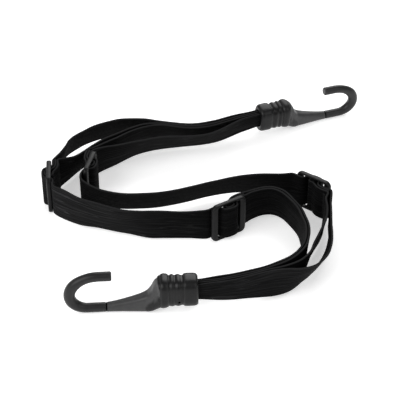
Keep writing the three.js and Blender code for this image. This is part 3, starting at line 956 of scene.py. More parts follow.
@dataclass
class Slider:
    """A three-bar slider: a rounded frame with a bar across its middle, standing on its short side.

    Its own directions are along the band's heading, across to the side on which the webbing passes over the
    centre bar, and up.
    """

    name: str
    palette: Palette
    x: float
    y: float
    heading: float
    face: int
    length: float = 0.028
    height: float = 2 * AXIS_HEIGHT
    thick: float = 0.0034
    corner: float = 0.004
    frame_power: float = 3.4
    side_bar: float = 0.005
    slot_height: float = BAND_WIDTH + 0.0014
    slot_corner: float = 0.0009
    centre_bar: float = 0.0034
    bar_thick: float = 0.94 * 0.0034
    bar_power: float = 3.0
    bar_overlap: float = 0.0009
    rub_gain: float = 3.2
    rub_start: float = 0.9
    lead_out: float = 0.002
    thread_radius: float = 0.00018
    thread_sunk: float = 0.4
    tack_along: float = 0.0135
    tack_swing: float = 0.0012
    tack_reach: float = 0.0105
    tack_turns: int = 34

    @property
    def behind(self) -> float:
        """Distance of webbing that lies against a bar from the slider's middle plane."""
        return self.thick / 2 + CLEAR + BAND_THICK / 2

    @property
    def over(self) -> float:
        """Distance of the second layer of webbing, which lies on the one against a bar."""
        return self.behind + PITCH

    @property
    def slot_edge(self) -> float:
        """Outer edge of a slot, from the slider's middle."""
        return self.length / 2 - self.side_bar

    @property
    def exit(self) -> float:
        """Where the webbing is clear of the slider."""
        return self.length / 2 + self.lead_out

    def place(self, along: Array, across: Array, height: Array | float) -> Array:
        """Points of the slider's own frame in the row frame: a turn by its heading and a move.

        Args:
            along: Distance along the band's heading.
            across: Distance to the side on which the webbing crosses the centre bar.
            height: Height above the floor.

        Returns:
            Points with three coordinates in the last axis.
        """
        angle = math.radians(self.heading)
        c, s = math.cos(angle), math.sin(angle)
        x = self.x + along * c - across * self.face * s + SHIFT[0]
        y = self.y + along * s + across * self.face * c + SHIFT[1]
        return grid(x, y, height)

    def stations(self, points: Sequence[Pair]) -> Array:
        """Webbing that stands upright at some places of the slider.

        Args:
            points: Places along and across.

        Returns:
            Rows of x, y, z, lean and width.
        """
        along, across = np.array(points).T
        middle = self.place(along, across, AXIS_HEIGHT)
        return np.column_stack([middle, np.zeros(len(middle)), np.full(len(middle), BAND_WIDTH)])

    def weave(self) -> Array:
        """Webbing through the slider: behind both side bars and over the centre bar.

        Returns:
            Rows of x, y, z, lean and width, through listed places.
        """
        behind, over, edge = self.behind, self.over, self.slot_edge
        half = [
            (self.exit, -behind), (edge + 0.0014, -behind), (edge - 0.0009, -behind + 0.0006),
            (edge - 0.0021, -0.0006), (edge - 0.0028, 0.0015), (edge - 0.004, over - 0.0011),
        ]
        crown = [(-0.0022, over - 0.0001), (0.0, over), (0.0022, over - 0.0001)]
        return self.stations([(-a, b) for a, b in half] + crown + half[::-1])

    def sewn_end(self) -> Array:
        """The tail's end: in from the hook side, round the centre bar and back on itself.

        Returns:
            Rows of x, y, z, lean and width, through listed places.
        """
        behind, over, edge = self.behind, self.over, self.slot_edge
        tail = over + PITCH
        flat_tail = [(self.exit, -tail), (edge + 0.0014, -tail)]
        under = [(0.0062, -over - 0.0011), (0.003, -over + 0.0007), (0.0006, -behind)]
        turn = [
            (-0.0012, -behind), (-0.0025, -0.0023), (-0.00295, 0.0), (-0.0025, 0.0023), (-0.0012, behind),
        ]
        back = [
            (0.0006, behind), (0.0022, behind - 0.0003), (0.0033, 0.0016), (0.0039, 0.0), (0.0052, -0.0027),
        ]
        flat = [(0.0074, -over + 0.0005), (edge + 0.0008, -over), (self.exit, -over)]
        return self.stations(flat_tail + under + turn + back + flat)

    def outline(self, length: float, height: float, corner: float, turn: int = 12) -> Array:
        """A rounded rectangle as four quarter circles joined by straight sides.

        Args:
            length: Size along the band.
            height: Size across the band.
            corner: Radius of the corners.
            turn: Points on each corner and on each side.

        Returns:
            Points along and up, from the middle of the rectangle.
        """
        reach = np.array([length, height]) / 2 - corner
        centres = np.array([[1, 1], [-1, 1], [-1, -1], [1, -1]]) * reach
        angle = np.linspace(0, np.pi / 2, turn) + np.pi / 2 * np.arange(4)[:, None]
        arcs = centres[:, None] + corner * np.stack([np.cos(angle), np.sin(angle)], axis=-1)
        share = np.linspace(0, 1, turn, endpoint=False)[1:, None]
        sides = arcs[:, None, -1] * (1 - share) + np.roll(arcs, -1, axis=0)[:, None, 0] * share
        return np.concatenate([arcs, sides], axis=1).reshape(-1, 2)

    def body(self) -> Piece:
        """The frame, a rounded section carried round between two outlines, joined to its centre bar.

        Returns:
            The slider's piece.
        """
        outer = self.outline(self.length, self.height, self.corner)
        inner = self.outline(self.length - 2 * self.side_bar, self.slot_height, self.slot_corner)
        wide, deep = superellipse(28, self.frame_power)
        middle, half = (outer + inner) / 2, (outer - inner) / 2
        flat = middle[:, None] + half[:, None] * wide[None, :, None]
        rings = self.place(flat[..., 0], self.thick / 2 * deep, flat[..., 1] + self.height / 2)
        edge = np.clip(np.abs(wide) * np.abs(deep) * self.rub_gain - self.rub_start, 0, 1)
        piece = make_piece(self.name + "_frame", rings, self.palette.slider, Closing.LOOP, rim=edge)
        wide, deep = superellipse(24, self.bar_power)
        reach = self.slot_height / 2 + self.bar_overlap
        level = self.height / 2 + np.linspace(-reach, reach, 9)[:, None]
        bar = self.place(self.centre_bar / 2 * wide, self.bar_thick / 2 * deep, level)
        combine(piece, make_piece(self.name + "_bar", bar, self.palette.slider), Join.ADD)
        return hand_over(piece, self.name, "moulded", self.name)

    def tack(self) -> Piece:
        """Zigzag stitches that close the sewn end: a triangle wave up the outer face of the tail.

        Returns:
            The thread's piece.
        """
        t = np.linspace(0, 1, self.tack_turns * 4 + 1)
        swing = 2 / np.pi * np.arcsin(np.sin(2 * np.pi * t * self.tack_turns / 2))
        along = self.tack_along + self.tack_swing * swing
        face = self.over + PITCH + BAND_THICK / 2
        across = -face + self.thread_sunk * self.thread_radius
        height = AXIS_HEIGHT + self.tack_reach * (2 * t - 1)
        path = self.place(along, across, height)
        piece = thread(self.name + "_tack", path, self.thread_radius, self.palette.thread)
        return hand_over(piece, self.name, "webbing")

    def build(self) -> list[Piece]:
        """The slider's frame and its stitches."""
        return [self.body(), self.tack()]


def thread(name: str, path: Array, radius: float, material: Material) -> Piece:
    """A thin round tube along a path: a circle across the local direction at each point.

    Args:
        name: Name of the piece.
        path: Points of the middle line.
        radius: Radius of the thread.
        material: Its finish.

    Returns:
        The piece.
    """
    no_stitch_runs_here = np.array([0.31, 0.27, 0.91])
    travel = unit(np.gradient(path, axis=0))
    side = unit(np.cross(travel, no_stitch_runs_here))
    up = np.cross(side, travel)
    wide, deep = superellipse(8, CIRCLE)
    circle = side[:, None] * wide[None, :, None] + up[:, None] * deep[None, :, None]
    rings = path[:, None] + radius * circle
    uv = grid(running_length(path)[:, None] / MM, np.linspace(0, 1, 8)[None, :])
    return make_piece(name, rings, material, uv=uv)


# Hooks

@dataclass
class Hook:
    """A moulded hook: rod bent to a J, paddle, ribbed collar and the pins that hold the webbing.

    Its own directions are along the hook from the collar's mouth, across, and up from the collar's axis.
    """

    end: End
    palette: Palette
    x: float
    y: float
    yaw: float
    lean: float
    outer_side: int

    # Collar: half sizes of its outside, of its bore and of the lip at its mouth.
    collar_length: float = 0.0245
    collar_seat: float = 0.95 * CLEAR
    collar_tall: float = 0.00985
    collar_deep: float = 0.0075
    collar_power: float = 3.0
    collar_drop: float = 0.0004
    heel_drop: float = 0.0005
    heel_start: float = 0.7
    rib_fade: float = 0.5
    rib_polish: float = 0.4
    rib_slope: Pair = (0.25, 1.2)
    rib_height: Pair = (0.0003, 0.0007)
    bore_tall: float = 0.0081
    bore_deep: float = 0.0064
    bore_power: float = 4.0
    lip_tall: float = 0.0069
    lip_deep: float = 0.0046
    vent_along: float = 0.0124
    vent_across: float = 0.008
    vent_height: float = -0.0046
    vent_radius: float = 0.0009
    vent_reach: float = 0.004

    # Pins, and the plug and cheeks that carry them inside the collar.
    pin_position: float = 0.0135
    pin_radius: float = 0.001
    plug_start: float = 0.020
    cheek_start: float = 0.009
    cheek_deep: float = 0.0042
    cheek_bevel: float = 0.0003
    cheek_gap: float = 0.0004
    cheek_play: float = 0.0001
    cheek_overlap: float = 0.0004
    cheek_power: float = 8.0

    # Rod: its lower bend is tight, its upper bend is wide.
    rod_radius: float = 0.0032
    rod_start: float = 0.0593
    rod_polish: float = 0.16
    hook_length: float = 0.0869
    throat: float = 0.0255
    lower_reach: float = 0.0115
    lower_rise: float = 0.0105
    upper_reach: float = 0.0195
    nose_swell: float = 0.0006
    tip_end: float = 0.0554
    tip_round: float = 0.0007
    tip_worn: float = 0.3
    tip_worn_length: float = 0.0012
    chamfer: float = 0.0002
    spigot_radius: float = 0.0018
    spigot_length: float = 0.009
    witness: float = 0.0007
    witness_drop: float = 0.00025
    witness_play: float = 0.00003

    # Paddle: a flange against the collar, and a flat face beyond a curved rim.
    paddle_power: float = 4.0
    neck_rounder: float = 0.8
    neck_length: float = 0.006
    flange_deep: float = 0.0078
    flange_taper: float = 0.3
    face_deep: float = 0.0054
    # Painted sheen over the flat face, and a painted highlight by the rim, which fades away from the rim
    # and downwards.
    face_sheen: float = 0.55
    rim_start: float = 0.0003
    rim_level: float = 0.003
    rim_top: float = 0.0016
    rim_rise: Pair = (0.0, 0.007)
    rim_bottom: float = 0.0095
    rim_fall: Pair = (0.001, 0.014)
    rim_width: float = 0.0007
    rim_highlight: float = 0.9
    rim_highlight_reach: float = 0.0018
    rim_highlight_fade: Pair = (-0.008, 0.003)

    @property
    def body(self) -> str:
        """Name of the rigid body that the hook is."""
        return f"{self.end.value}_hook"

    @property
    def rod_level(self) -> float:
        """Height of the rod's middle line against the collar's axis, so that it lies on the floor."""
        return self.rod_radius - AXIS_HEIGHT

    @property
    def nose(self) -> float:
        """Furthest place of the rod's middle line."""
        return self.hook_length - self.rod_radius - self.nose_swell

    @property
    def paddle_start(self) -> float:
        """Where the paddle's flange faces the collar."""
        return self.collar_length + CLEAR

    @property
    def paddle_end(self) -> float:
        """Where the paddle faces the rod."""
        return self.rod_start - CLEAR

    def place(self, points: Array) -> Array:
        """Points of the hook's own frame in the row frame: a lean about its axis, a turn and a move.

        Args:
            points: Rows along, across and up.

        Returns:
            The same points in the row frame.
        """
        lean, yaw = math.radians(self.lean), math.radians(self.yaw)
        tip = np.array([
            [1, 0, 0],
            [0, math.cos(lean), -math.sin(lean)],
            [0, math.sin(lean), math.cos(lean)],
        ])
        turn = np.array([
            [math.cos(yaw), -math.sin(yaw), 0],
            [math.sin(yaw), math.cos(yaw), 0],
            [0, 0, 1],
        ])
        origin = np.array([self.x + SHIFT[0], self.y + SHIFT[1], AXIS_HEIGHT])
        return points @ (turn @ tip).T + origin

    def ring(
        self,
        along: Array | Sequence[float],
        height: Array | float,
        tall: Array | float,
        deep: Array | float,
        power: Array | float,
        count: int = 72,
    ) -> Array:
        """Rounded outlines across the hook's axis, one for each row.

        Args:
            along: Distance from the collar's mouth.
            height: Middle of the outline above the axis.
            tall: Half of its height.
            deep: Half of its depth.
            power: 2 is an ellipse, and higher is squarer.
            count: Points on an outline.

        Returns:
            Rings of points in the hook's own frame.
        """
        along, height, tall, deep, power = (
            np.reshape(part, (-1, 1)) for part in (along, height, tall, deep, power)
        )
        wide, high = superellipse(count, power)
        return grid(along, deep * wide, height + tall * high)

    def skin(
        self,
        part: str,
        points: Array,
        material: Material,
        closing: Closing = Closing.FAN,
        rim: Array | float = 0.0,
    ) -> Piece:
        """A piece of this hook over rings in its own frame, named for its end."""
        return make_piece(f"{self.end.value}_{part}", self.place(points), material, closing, rim=rim)

    def finished(self, piece: Piece, node: str) -> Piece:
        """Lets a piece move with the hook and stand for one of its solids."""
        return hand_over(piece, self.body, "moulded", f"{self.end.value}_{node}")

    def middle_line(self) -> Array:
        """The rod's middle line: shank, a tight quarter oval, a wide quarter oval, and the straight tip.

        Returns:
            Points along and up.
        """
        low = self.rod_level
        bend = self.nose - self.lower_reach
        top = self.nose - self.upper_reach
        rise = self.throat - self.lower_rise
        angle = np.linspace(0, np.pi / 2, 60)
        shank = grid(np.linspace(self.rod_start + self.witness, bend, 20), low)
        lower = grid(bend + self.lower_reach * np.sin(angle), low + self.lower_rise * (1 - np.cos(angle)))
        upper = grid(top + self.upper_reach * np.cos(angle), low + self.lower_rise + rise * np.sin(angle))
        tip = grid(np.linspace(top, self.tip_end, 14), low + self.throat)
        return np.concatenate([shank, lower[1:], upper[1:], tip[1:]])

    def rod(self) -> Piece:
        """The J: a circle carried along the middle line, with rounded ends and a spigot into the paddle.

        Its radius swells with a squared sine round the nose, and closes as a quarter circle at the tip.

        Returns:
            The rod's piece.
        """
        line = self.middle_line()
        travel = unit(np.gradient(line, axis=0))
        run = running_length(line)
        left = np.clip(run[-1] - run, 0, self.tip_round) / self.tip_round
        past = np.clip((line[:, 0] - self.nose + self.lower_reach) / self.lower_reach, 0, 1)
        swell = self.nose_swell * np.sin(np.pi / 2 * past) ** 2
        radius = self.rod_radius + swell - self.tip_round * (1 - np.sqrt(1 - (1 - left) ** 2))
        radius[0] = self.rod_radius - self.chamfer
        worn = self.rod_polish + self.tip_worn * smoothstep(run, run[-1] - self.tip_worn_length, run[-1])
        tail = self.rod_start - self.spigot_length
        spigot = np.array([
            (tail, self.spigot_radius - self.chamfer),
            (tail + self.chamfer, self.spigot_radius),
            (self.rod_start + self.witness, self.spigot_radius),
        ])
        line = np.concatenate([grid(spigot[:, 0], self.rod_level), line])
        travel = np.concatenate([np.tile([1.0, 0.0], (len(spigot), 1)), travel])
        size = np.concatenate([spigot[:, 1], radius])[:, None]
        worn = np.concatenate([np.zeros(len(spigot)), worn])[:, None]
        wide, high = superellipse(40, CIRCLE)
        along = line[:, :1] - travel[:, 1:] * size * high
        up = line[:, 1:] + travel[:, :1] * size * high
        piece = self.skin("rod", grid(along, size * wide, up), self.palette.hook, rim=worn)
        return self.finished(piece, "hook_rod")

    def groove_shade_ring(self) -> Piece:
        """The dark ring where the rod enters the paddle: a short tube round the spigot, a shallow groove
        painted near-black as the shade in it.

        Returns:
            The ring's piece.
        """
        play = self.witness_play
        first, last = self.paddle_end + play, self.rod_start + self.witness - play
        outer, inner = self.rod_radius - self.witness_drop, self.spigot_radius + play
        radius = np.array([inner, outer, outer, inner])
        points = self.ring([first, first, last, last], self.rod_level, radius, radius, CIRCLE, 40)
        piece = self.skin("groove_shade_ring", points, self.palette.groove_shade, Closing.LOOP)
        return hand_over(piece, self.body, "moulded")

    def paddle_sections(self) -> Array:
        """Listed sections of the paddle: distance from the mouth, bottom, top and half depth."""
        return np.array([
            (self.paddle_start, -0.0114, 0.0096, 0.0077), (0.0262, -0.0122, 0.0089, 0.0072),
            (0.0276, -0.0129, 0.0076, 0.0065), (0.0288, -0.0135, 0.0056, 0.0059),
            (0.0300, -0.0140, 0.0027, 0.0055), (0.0314, -0.0145, 0.0006, 0.0052),
            (0.0330, -0.0148, -0.0012, 0.0049), (0.0360, -0.0150, -0.0029, 0.0046),
            (0.0400, -0.0150, -0.0043, 0.0043), (0.0460, -0.0150, -0.0059, 0.0039),
            (0.0530, -0.0150, -0.0075, 0.0035), (self.paddle_end, -0.0150, -0.0086, 0.0032),
        ])

    def paddle(self) -> Piece:
        """The paddle: rounded outlines that shrink from the flange to the rod, with plug, cheeks and bore.

        Its outlines are squarest just beyond the flange and grow round towards the rod.

        Returns:
            The paddle's piece.
        """
        start, end = self.paddle_start, self.paddle_end
        sections = self.paddle_sections()
        curve, _ = catmull_rom(sections, np.linspace(0, len(sections) - 1, 90))
        along, bottom, top, deep = curve.T
        bottom = np.maximum(bottom, -AXIS_HEIGHT)
        rounder = (self.paddle_power - CIRCLE) * smoothstep(along, start, end)
        neck = self.neck_rounder * (1 - smoothstep(along, start, start + self.neck_length))
        power = self.paddle_power - rounder - neck
        outside = self.ring(along, (top + bottom) / 2, (top - bottom) / 2, deep, power)
        outside, paddle_sheen = self.flat_face(outside, deep)
        plug = self.ring(
            [self.plug_start, start], 0.0, self.bore_tall - CLEAR, self.bore_deep - CLEAR, self.bore_power
        )
        hole = self.spigot_radius + CLEAR
        size = np.array([self.rod_radius - self.chamfer, hole, hole])
        bore = self.ring([end, end, end - self.spigot_length], self.rod_level, size, size, CIRCLE)
        points = np.concatenate([plug, outside, bore])
        rim = np.zeros(points.shape[:2])
        rim[len(plug):-len(bore)] = paddle_sheen
        piece = self.skin("paddle", points, self.palette.hook, rim=rim)
        for side in (-1, 1):
            combine(piece, self.cheek(side), Join.ADD)
        return self.finished(piece, "hook_body")

    def flat_face(self, outside: Array, deep: Array) -> tuple[Array, Array]:
        """Cuts the paddle's sides flat beyond a curved rim, so that the flange stays as a swelling.

        The rim lies close to the collar at mid height, a little further out at the top, and far out along
        the bottom. Depths before it grow to the swelling's, and depths beyond it shrink to the flat face's.

        Args:
            outside: Rings of the paddle's outside.
            deep: Half depth of each ring.

        Returns:
            The new rings, and how much paler they are painted: a painted sheen over the flat face, and a
            painted highlight by the rim, strongest high up.
        """
        along, height = outside[..., 0], outside[..., 2]
        above = smoothstep(height - self.rim_level, *self.rim_rise)
        below = smoothstep(self.rim_level - height, *self.rim_fall)
        rim = self.collar_length + self.rim_start + self.rim_top * above + self.rim_bottom * below
        beyond = smoothstep(along - rim, -self.rim_width, self.rim_width)
        flat = np.minimum(deep, self.face_deep)[:, None]
        swollen = self.flange_deep - self.flange_taper * (along - self.paddle_start)
        swollen = np.maximum(swollen, deep[:, None])
        outside[..., 1] *= (swollen * (1 - beyond) + flat * beyond) / deep[:, None]
        # Painted highlight: strongest at the rim and high up, fading away from it and downwards.
        glow = np.exp(-np.maximum(along - rim, 0.0) / self.rim_highlight_reach) * smoothstep(height, *self.rim_highlight_fade)
        return outside, beyond * (self.face_sheen + self.rim_highlight * glow)

    def cheek(self, side: int) -> Piece:
        """One of the two plates inside the collar that carry the pins: square outlines with a bevelled end.

        Args:
            side: 1 above the webbing and -1 below it.

        Returns:
            The plate as an object of its own.
        """
        low = GATHERED_WIDTH / 2 + self.cheek_gap
        high = self.bore_tall - CLEAR - self.cheek_play
        start = self.cheek_start
        along = [start, start + self.cheek_bevel, self.plug_start + self.cheek_overlap]
        size = np.array([0.94, 1.0, 1.0])
        middle = side * (low + high) / 2
        tall = (high - low) / 2 * size
        points = self.ring(along, middle, tall, self.cheek_deep * size, self.cheek_power, 32)
        return self.skin("cheek", points, self.palette.hook)

    def swell(self, along: Array) -> Array:
        """Half size of the collar's ribs over its plain size: a smooth curve through listed places."""
        curve, _ = catmull_rom(np.array(COLLAR_RIBS), np.linspace(0, len(COLLAR_RIBS) - 1, 400))
        return np.interp(along, curve[:, 0], curve[:, 1])

    def collar(self) -> Piece:
        """The sleeve: ribbed outside, a plain bore that narrows to a lip at the mouth, and a vent hole.

        The ribs are lower underneath, where the collar also drops a little towards the paddle.

        Returns:
            The collar's piece.
        """
        reach = self.collar_length + self.collar_seat
        along = np.linspace(0, reach, 180)
        swell = self.swell(along)
        heel = self.heel_drop * smoothstep(along, self.heel_start * reach, reach)
        tall = self.collar_tall + heel + swell * (1 + self.rib_fade) / 2
        middle = swell * (1 - self.rib_fade) / 2 - self.collar_drop - heel
        outside = self.ring(along, middle, tall, self.collar_deep + swell, self.collar_power, 96)
        # The bore from its back to the mouth: distance from the mouth, and share of the way to the lip.
        back, narrow = np.array([
            (reach, 0.0), (reach - 0.0003, 0.0), (0.0022, 0.0), (0.0008, 1.0), (0.0003, 1.0), (0.0, 0.8),
        ]).T
        bore_tall = self.bore_tall + (self.lip_tall - self.bore_tall) * narrow
        bore_deep = self.bore_deep + (self.lip_deep - self.bore_deep) * narrow
        inside = self.ring(back, 0.0, bore_tall, bore_deep, self.bore_power, 96)
        slope = np.abs(np.gradient(swell, along))
        crest = smoothstep(slope, *self.rib_slope) * smoothstep(swell, *self.rib_height)
        worn = np.concatenate([self.rib_polish * crest, np.zeros(len(back))])[:, None]
        points = np.concatenate([outside, inside])
        piece = self.skin("sleeve", points, self.palette.hook, Closing.LOOP, worn)
        combine(piece, self.vent(), Join.CUT)
        return self.finished(piece, "collar")

    def vent(self) -> Piece:
        """The small round hole low on the collar's front, as a straight pin to cut with.

        Returns:
            The pin.
        """
        across = self.vent_across + np.linspace(-self.vent_reach, self.vent_reach, 5)[:, None]
        wide, high = superellipse(20, CIRCLE)
        along = self.vent_along + self.vent_radius * wide
        up = self.vent_height + self.vent_radius * high
        return self.skin("vent", grid(along, across, up), self.palette.hook)

    def dress_pins(self) -> None:
        """Gives the two cross pins, kept from the solids, their steel."""
        for place in ("outer", "inner"):
            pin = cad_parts[f"{self.end.value}_{place}_pin"]
            pin.data.materials.clear()
            pin.data.materials.append(self.palette.steel)

    def build(self) -> list[Piece]:
        """The rod, the painted-shade ring at its joint, the paddle and the collar, and the pins' finish."""
        self.dress_pins()
        return [self.rod(), self.groove_shade_ring(), self.paddle(), self.collar()]

    def pin_loop(self, side: int, outer_first: bool) -> Array:
        """Webbing round one pin: in along one layer, round the pin, out along the next.

        Args:
            side: Side of the hook's axis on which the pin is.
            outer_first: Whether the webbing arrives along the layer further from the axis.

        Returns:
            Rows of x, y, z, lean and width, through listed places.
        """
        loop = self.pin_radius + CLEAR + BAND_THICK / 2
        pin = side * (loop + PITCH / 2)
        first = side if outer_first else -side
        layer = {side: 1.5 * side * PITCH, -side: 0.5 * side * PITCH}
        bend = 0.72 * loop
        at = self.pin_position

        def half(way: int) -> list[Pair]:
            """One side of the loop, from the collar's mouth to the bend round the pin."""
            near = pin + way * loop
            return [
                (0.0, layer[way]), (0.005, layer[way] * 0.6 + near * 0.4), (at - 0.003, near), (at, near),
                (at + bend, pin + way * bend),
            ]

        along, across = np.array(half(first) + [(at + loop, pin)] + half(-first)[::-1]).T
        turned = np.array([-1, -1, -1, -1, -0.7, 0, 0.7, 1, 1, 1, 1])
        middle = self.place(grid(along, across, 0.0))
        return np.column_stack([middle, -turned * self.lean, np.full(len(middle), GATHERED_WIDTH)])


# Straps

def route(points: Sequence[Sequence[float]]) -> Array:
    """Stations of webbing along a given list of places.

    Args:
        points: Rows of x, y, lean, and the width where it isn't the band's full one.

    Returns:
        Rows of x, y, z, lean and width.
    """
    full = np.array([tuple(p) + (BAND_WIDTH,) * (4 - len(p)) for p in points])
    return np.column_stack([full[:, :2] + SHIFT, np.full(len(full), AXIS_HEIGHT), full[:, 2:]])


def backwards(stations: Array) -> Array:
    """The same stretch walked the other way, so that it leans to the other side."""
    return stations[::-1] * np.array([1, 1, 1, -1, 1])


def beside(stations: Array, distance: float) -> Array:
    """A layer that lies at a distance to the left of another one.

    Args:
        stations: Rows of x, y, z, lean and width of the other layer.
        distance: How far to the left.

    Returns:
        Rows of the same kind.
    """
    middle = stations[:, :2]
    before = np.concatenate([middle[:1], middle[:-1]])
    after = np.concatenate([middle[1:], middle[-1:]])
    travel = unit(after - before)
    moved = stations.copy()
    moved[:, :2] += distance * np.stack([-travel[:, 1], travel[:, 0]], axis=1)
    return moved


@dataclass(frozen=True)
class Section:
    """Cross-section of the webbing: ribs over rubber cords between two plain bound edges."""

    cords: int = CORDS
    samples: int = 6
    rib: float = 0.17
    bound: Pair = (0.93, 0.965)
    edge_power: int = 60
    edge_thin: float = 0.85

    def outline(self) -> tuple[Array, Array]:
        """The closed outline: the size of a sine for the ribs, faded out at the edges, which are rounded.

        Returns:
            Place across and place through the thickness, each from -1 to 1.
        """
        face = np.linspace(-1, 1, self.cords * self.samples + 1)
        crest = np.abs(np.sin(np.pi * self.cords * (face + 1) / 2))
        bound = smoothstep(np.abs(face), *self.bound)
        depth = (1 - self.rib * (1 - crest)) * (1 - bound) + bound
        depth = depth * np.sqrt(np.clip(1 - np.abs(face) ** self.edge_power * self.edge_thin, 0, 1))
        return np.concatenate([face, face[::-1]]), np.concatenate([depth, -depth[::-1]])


@dataclass(frozen=True)
class Cuts:
    """Stations where a band is cut, counted from its slider, and on the main stretch from the rear."""

    rear_tail: int
    rear_run: int
    main: int
    front_run: int
    front_tail: int


@dataclass(frozen=True)
class Sweep:
    """A whole band: its rings, their pattern and distance along it, and the ring at each station."""

    rings: Array
    uv: Array
    run: Array
    ring_at: dict[str, Array]


@dataclass
class Strap:
    """One elastic band: sewn end, tail, pin, run, slider, main stretch, and the same again in front."""

    node: str
    palette: Palette
    rear_slider: Slider
    front_slider: Slider
    rear_hook: Hook
    front_hook: Hook
    side: int
    rear_run: Array
    rear_tail: Array
    main: Array
    front_run: Array
    front_tail: Array
    cuts: Cuts
    # How much paler the band is painted along its length, as painted light where it is turned to the light.
    worn: Sequence[Pair]
    section: Section = Section()
    gathered_thinner: float = 0.6
    crease: float = 0.00016
    crease_waves: float = 7.5
    crease_slant: float = 40.0
    wander: float = 0.00016
    pinch: float = 0.00012
    blend_margin: float = 0.0004

    def stretches(self) -> dict[str, Array]:
        """The named stretches in order along the band.

        Returns:
            Rows of x, y, z, lean and width by name.
        """
        rear, front = self.side * self.rear_hook.outer_side, self.side * self.front_hook.outer_side
        return {
            "rear_end": backwards(self.rear_slider.sewn_end()),
            "rear_tail": self.rear_tail,
            "rear_pin": self.rear_hook.pin_loop(rear, False),
            "rear_run": backwards(self.rear_run),
            "rear_weave": backwards(self.rear_slider.weave()),
            "main": self.main,
            "front_weave": self.front_slider.weave(),
            "front_run": self.front_run,
            "front_pin": self.front_hook.pin_loop(front, True),
            "front_tail": backwards(self.front_tail),
            "front_end": self.front_slider.sewn_end(),
        }

    def sweep(self) -> Sweep:
        """Carries the webbing's section along a smooth curve through all stations.

        Returns:
            The band's rings and where its stations lie among them.
        """
        stretches = self.stretches()
        rows = np.concatenate(list(stretches.values()))
        gaps = np.linalg.norm(np.diff(rows[:, :3], axis=0), axis=1)
        parts = np.maximum(2, np.ceil(gaps / RING_STEP).astype(int))
        mark = np.concatenate([[0], np.cumsum(parts)])
        span = np.repeat(np.arange(len(parts)), parts)
        where = np.append(span + (np.arange(len(span)) - mark[span]) / parts[span], len(parts))
        middle, slope = catmull_rom(rows[:, :3], where)
        shape, _ = catmull_rom(np.stack([rows[:, 3], rows[:, 4] / MM], axis=1), where)
        run = running_length(middle)
        rings, uv = self.carry(middle, unit(slope), run, np.radians(shape[:, 0]), shape[:, 1] * MM)
        ends = np.cumsum([len(stations) for stations in stretches.values()])
        return Sweep(rings, uv, run, dict(zip(stretches, np.split(mark, ends[:-1]))))

    def carry(
        self, middle: Array, travel: Array, run: Array, lean: Array, width: Array
    ) -> tuple[Array, Array]:
        """Rings of the band: the section turned by its lean about the travel, creased where it is gathered.

        In its own plane the band wanders and narrows a little, as sums of slow sines of the distance.

        Args:
            middle: Points of the middle line.
            travel: Directions along it.
            run: Distance along it.
            lean: Lean of the top edge to the right, in radians.
            width: Width of the band.

        Returns:
            The rings of points, and the pattern's place across and along for each.
        """
        right = unit(np.cross(travel, np.array([0.0, 0.0, 1.0])))
        above = unit(np.cross(right, travel))
        c, s = np.cos(lean)[:, None], np.sin(lean)[:, None]
        up = above * c + right * s
        out = right * c - above * s
        across, through = self.section.outline()
        squeeze = np.clip(1 - width / BAND_WIDTH, 0, 1)[:, None]
        phase = self.crease_waves * np.pi * across[None, :] + self.crease_slant * run[:, None]
        thick = BAND_THICK * (1 - self.gathered_thinner * squeeze)
        depth = thick / 2 * through[None, :] + self.crease * squeeze * np.sin(phase)
        half = width / 2 + self.pinch * waves(run, BAND_PINCH)
        high = half[:, None] * across[None, :] + self.wander * waves(run, BAND_WANDER)[:, None]
        rings = middle[:, None] + up[:, None] * high[..., None] + out[:, None] * depth[..., None]
        return rings, grid((across + 1) / 2, (run / BAND_WIDTH)[:, None])

    def blend_between(self, piece: Piece, before: Array, after: Array) -> None:
        """Bakes the piece's placement into its mesh.

        Args:
            piece: The stretch of webbing.
            before: Not used.
            after: Not used.
        """
        before, after = before.reshape(-1, 3), after.reshape(-1, 3)
        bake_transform(piece)

    def piece(self, name: str, sweep: Sweep, part: slice) -> Piece:
        """A stretch of webbing, painted as pale as its place along the band says, standing for how it is
        lit there.

        Args:
            name: Name of the stretch.
            sweep: The whole band.
            part: Its rings.

        Returns:
            The piece, which stands for the strap's solid.
        """
        place, amount = np.array(self.worn).T
        pale = np.interp(sweep.run[part], place, amount)[:, None]
        rings, uv = sweep.rings[part], sweep.uv[part]
        made = make_piece(f"{self.node}_{name}", rings, self.palette.webbing, Closing.STRIP, uv, pale)
        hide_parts(self.node)
        return made

    def build(self) -> list[Piece]:
        """Cuts the band where it changes from one moving part to the next.

        Returns:
            The eight stretches of the band.
        """
        sweep = self.sweep()
        at = sweep.ring_at
        rear, front = self.rear_slider.name, self.front_slider.name
        rear_hook, front_hook = self.rear_hook.body, self.front_hook.body
        tail = at["rear_tail"][self.cuts.rear_tail]
        run = at["rear_run"][-1 - self.cuts.rear_run]
        main_start, main_end = at["rear_weave"][-1], at["front_weave"][0]
        middle = at["main"][self.cuts.main]
        front_run = at["front_run"][self.cuts.front_run]
        front_tail = at["front_tail"][-1 - self.cuts.front_tail]
        last = len(sweep.rings) - 1
        front_cuts = [front_run, front_tail]
        rear_mouth, front_mouth = at["rear_pin"][[0, -1]], at["front_pin"][[0, -1]]
